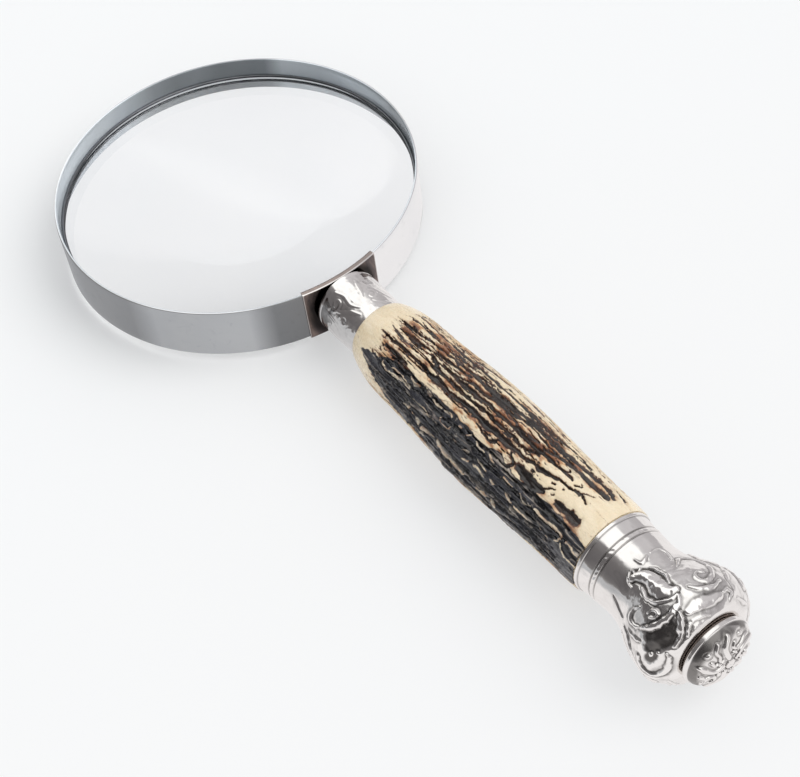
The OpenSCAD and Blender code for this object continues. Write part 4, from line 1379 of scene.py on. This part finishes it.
def woody(name, low, high, scale, stretch):
    mat = new_material(name)
    grain = mat.noise(mat.mapping(stretch), scale, detail=6, roughness=0.6, distortion=1.5)
    rings = mat.node("TexWave", {
        "Scale": scale * 0.8, "Distortion": 5, "Detail": 3, "Vector": mat.mapping(stretch)},
        wave_type="RINGS", rings_direction="X").outputs["Fac"]
    return mat.finish(mat.principled(
        Base_Color=mat.mix(mat.math("MULTIPLY", grain, rings), low, high),
        Roughness=mat.remap(grain, start=0.3, stop=0.7, low=0.45, high=0.7),
        Normal=mat.bump(grain, distance=0.0001, strength=0.5)))


def leathery(name, low, high):
    mat = new_material(name)
    pores = mat.node("TexVoronoi", {"Scale": 1400, "Vector": mat.coord()}).outputs["Distance"]
    cloud = mat.noise(mat.coord(), scale=500, detail=5, roughness=0.6, distortion=0.6)
    colour = mat.blend(low, high, cloud, start=0.3, stop=0.7)
    pore_mask = mat.remap(pores, start=0.0, stop=0.35, low=0.45, high=0.0)
    return mat.finish(mat.principled(
        Base_Color=mat.mix(pore_mask, colour, tuple(0.4 * c for c in low)),
        Roughness=mat.remap(cloud, start=0.3, stop=0.7, low=0.5, high=0.75),
        Normal=mat.bump(pores, distance=0.00008, strength=0.7)))


hardwood = woody("plug_hardwood", srgb(120, 80, 45), srgb(168, 122, 76), scale=420,
                 stretch=(0.15, 1, 1))
pitch_fill = woody("cast_pitch", srgb(52, 38, 29), srgb(96, 74, 58), scale=300,
                   stretch=(1, 1, 1))
fibre = leathery("pressed_fibre", srgb(92, 64, 42), srgb(126, 90, 60))
leather = leathery("thin_leather", srgb(88, 76, 70), srgb(124, 110, 102))
place(washer, leather, "boss_carriage", "boss_washer")

for node, material in (
        ("ferrule_plug", hardwood), ("pommel_core", pitch_fill), ("threaded_socket", brass),
        ("rod_nut", brass), ("boss_insert", brass), ("rod_washer", steel),
        ("friction_washer", fibre)):
    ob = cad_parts[node]
    if ob.data.materials:
        for i in range(len(ob.data.materials)):
            ob.data.materials[i] = material
        ob.material_slots[0].material = material
    else:
        ob.data.materials.append(material)

# ---------------------------------------------------------------- floor


def make_floor():
    """A plane tilted to touch the band's far bottom edge (-X) and the pommel's underside."""
    rest = np.array([-RIM_RADIUS + 0.1, -RIM_HALF])
    x = np.linspace(COLLAR_START, SHELL_END, 200)
    underside = np.c_[x, -(shell_radius(x) + 0.25)]

    def gap(tilt):
        return abs(((underside - rest) @ [-math.sin(tilt), math.cos(tilt)]).min())

    tilt = min(np.radians(np.linspace(-6, 2, 1601)), key=gap)
    normal = Vector((-math.sin(tilt), 0, math.cos(tilt)))
    along = Vector((math.cos(tilt), 0, math.sin(tilt)))
    clearance, half_size = 0.00002, 6.0
    origin = Vector(to_frame((rest[0], 0, rest[1]))) - normal * clearance
    corners = [origin + along * half_size * i + Vector((0, half_size * j, 0))
               for i, j in ((-1, -1), (1, -1), (1, 1), (-1, 1))]
    mesh = bpy.data.meshes.new("floor")
    mesh.from_pydata([tuple(corner) for corner in corners], [], [(0, 1, 2, 3)])
    return add_object("floor", mesh)


def pale_floor():
    """A pale matt floor that looks different to camera, glossy and transmission rays."""
    mat = new_material("pale_floor")
    vec = mat.coord()
    tint = mat.blend((0.868, 0.868, 0.868), (0.876, 0.876, 0.876),
                     mat.noise(vec, scale=3, detail=2, roughness=0.5), start=0.3, stop=0.7)
    diffuse = mat.node("BsdfDiffuse", {"Color": tint}).outputs[0]
    position = mat.node("SeparateXYZ", {
        0: mat.node("NewGeometry").outputs["Position"]}).outputs
    rays = mat.node("LightPath").outputs
    # the camera sees it glow towards white, more so along the handle: a painted glow that lightens
    # the shadows there
    lift = mat.remap(position["X"], start=(25 - LENS_SHIFT) * MM, stop=(85 - LENS_SHIFT) * MM,
                     low=0.22, high=0.6)
    surface = mat.mix_shader(mat.math("MULTIPLY", rays["Is Camera Ray"], lift),
                             diffuse, mat.emission((0.935, 0.938, 0.942)))
    # metal sees a slightly greyer table near the lens, as it would under a large card
    cloud = mat.noise(vec, scale=9, detail=2, roughness=0.5, distortion=0.3)
    grey = mat.blend((0.36, 0.37, 0.39), (0.60, 0.60, 0.61), cloud, start=0.35, stop=0.65)
    slant = mat.math("ADD", mat.math("MULTIPLY", position["X"], 0.6),
                     mat.math("MULTIPLY", position["Y"], 0.8))
    shift = 0.6 * LENS_SHIFT * MM
    mirrored = mat.blend(grey, (0.93, 0.90, 0.895), slant, start=0.015 - shift,
                         stop=0.045 - shift)
    surface = mat.mix_shader(mat.math("MULTIPLY", rays["Is Glossy Ray"], 0.85),
                             surface, mat.emission(mirrored))
    # the glass gathers light under itself; what is seen through it stays bright
    through = mat.blend((0.965, 0.975, 0.99), (0.60, 0.63, 0.66), rays["Glossy Depth"],
                        start=0.5, stop=0.6)
    return mat.finish(mat.mix_shader(mat.math("MULTIPLY", rays["Is Transmission Ray"], 0.78),
                                     surface, mat.emission(through)))


floor = make_floor()
floor.data.materials.append(pale_floor())

# ---------------------------------------------------------------- light

# What glossy rays see round the handle: (degrees from the top towards -Y, colour)
REFLECTED_ROLL = [
    (-180, (.60, .58, .57)), (-105, (.55, .53, .53)), (-92, (.50, .48, .49)),
    (-66, (.52, .50, .51)), (-58, (.62, .60, .61)), (-36, (.62, .60, .61)),
    (-29, (.70, .69, .70)), (-24, (1.25, 1.24, 1.22)), (20, (1.25, 1.24, 1.22)),
    (27, (.26, .25, .25)), (40, (.17, .16, .16)), (70, (.14, .132, .135)), (86, (.20, .19, .19)),
    (94, (.50, .48, .46)), (130, (.60, .58, .55)), (180, (.60, .58, .57))]


def light_world():
    """An even sky for most rays, and bright and dark cards round the handle for glossy ones."""
    world = bpy.data.worlds.new("studio")
    bpy.context.scene.world = world
    sky = Nodes(world, "OutputWorld")
    even = sky.node("Background", {"Color": (0.955, 0.98, 1.0), "Strength": 0.86}).outputs[0]
    direction = sky.node("SeparateXYZ", {
        0: sky.node("TexCoord").outputs["Generated"]}).outputs
    roll = sky.math("ARCTAN2", sky.math("MULTIPLY", direction["Y"], -1), direction["Z"])
    ramp = sky.node("ValToRGB", {"Fac": sky.remap(roll, start=-math.pi, stop=math.pi)})
    ramp.color_ramp.interpolation = "LINEAR"
    elements = ramp.color_ramp.elements
    for degrees, colour in REFLECTED_ROLL[1:-1]:
        elements.new((degrees + 180) / 360).color = (*colour, 1)
    for end in (0, -1):
        elements[end].color = (*REFLECTED_ROLL[end][1], 1)
    cards = sky.node("Background", {"Color": ramp.outputs["Color"]}).outputs[0]
    glossy_ray = sky.node("LightPath").outputs["Is Glossy Ray"]
    sky.finish(sky.mix_shader(glossy_ray, even, cards))


def add_sun():
    """A broad, warm key light, left out of reflections."""
    sun = bpy.data.lights.new("key", "SUN")
    sun.energy = 1.08
    sun.angle = math.radians(48)
    sun.color = (1.0, 0.985, 0.965)
    ob = add_object("key", sun)
    to_sun = Vector((0.52, 0.62, 0.92)).normalized()
    ob.rotation_mode = "QUATERNION"
    ob.rotation_quaternion = to_sun.to_track_quat("Z", "Y")
    ob.visible_glossy = False


# ---------------------------------------------------------------- camera


def add_camera():
    camera = bpy.data.cameras.new("camera")
    camera.sensor_width = 36
    camera.lens = 81.0
    camera.clip_start = 0.01
    camera.clip_end = 50
    ob = add_object("camera", camera)
    right = (0.5950283, 0.7973494, -0.1008721)
    up = (-0.5765591, 0.5109244, 0.6376017)
    back = (0.5599293, -0.3212323, 0.7637336)
    position = to_frame((335.0002, -151.2679, 341.8216))
    ob.matrix_world = Matrix([*zip(right, up, back, position), (0, 0, 0, 1)])
    bpy.context.scene.camera = ob


light_world()
add_sun()
add_camera()
view = bpy.context.scene.view_settings
view.view_transform = "Standard"
view.look = "None"
view.exposure = 0
view.gamma = 1
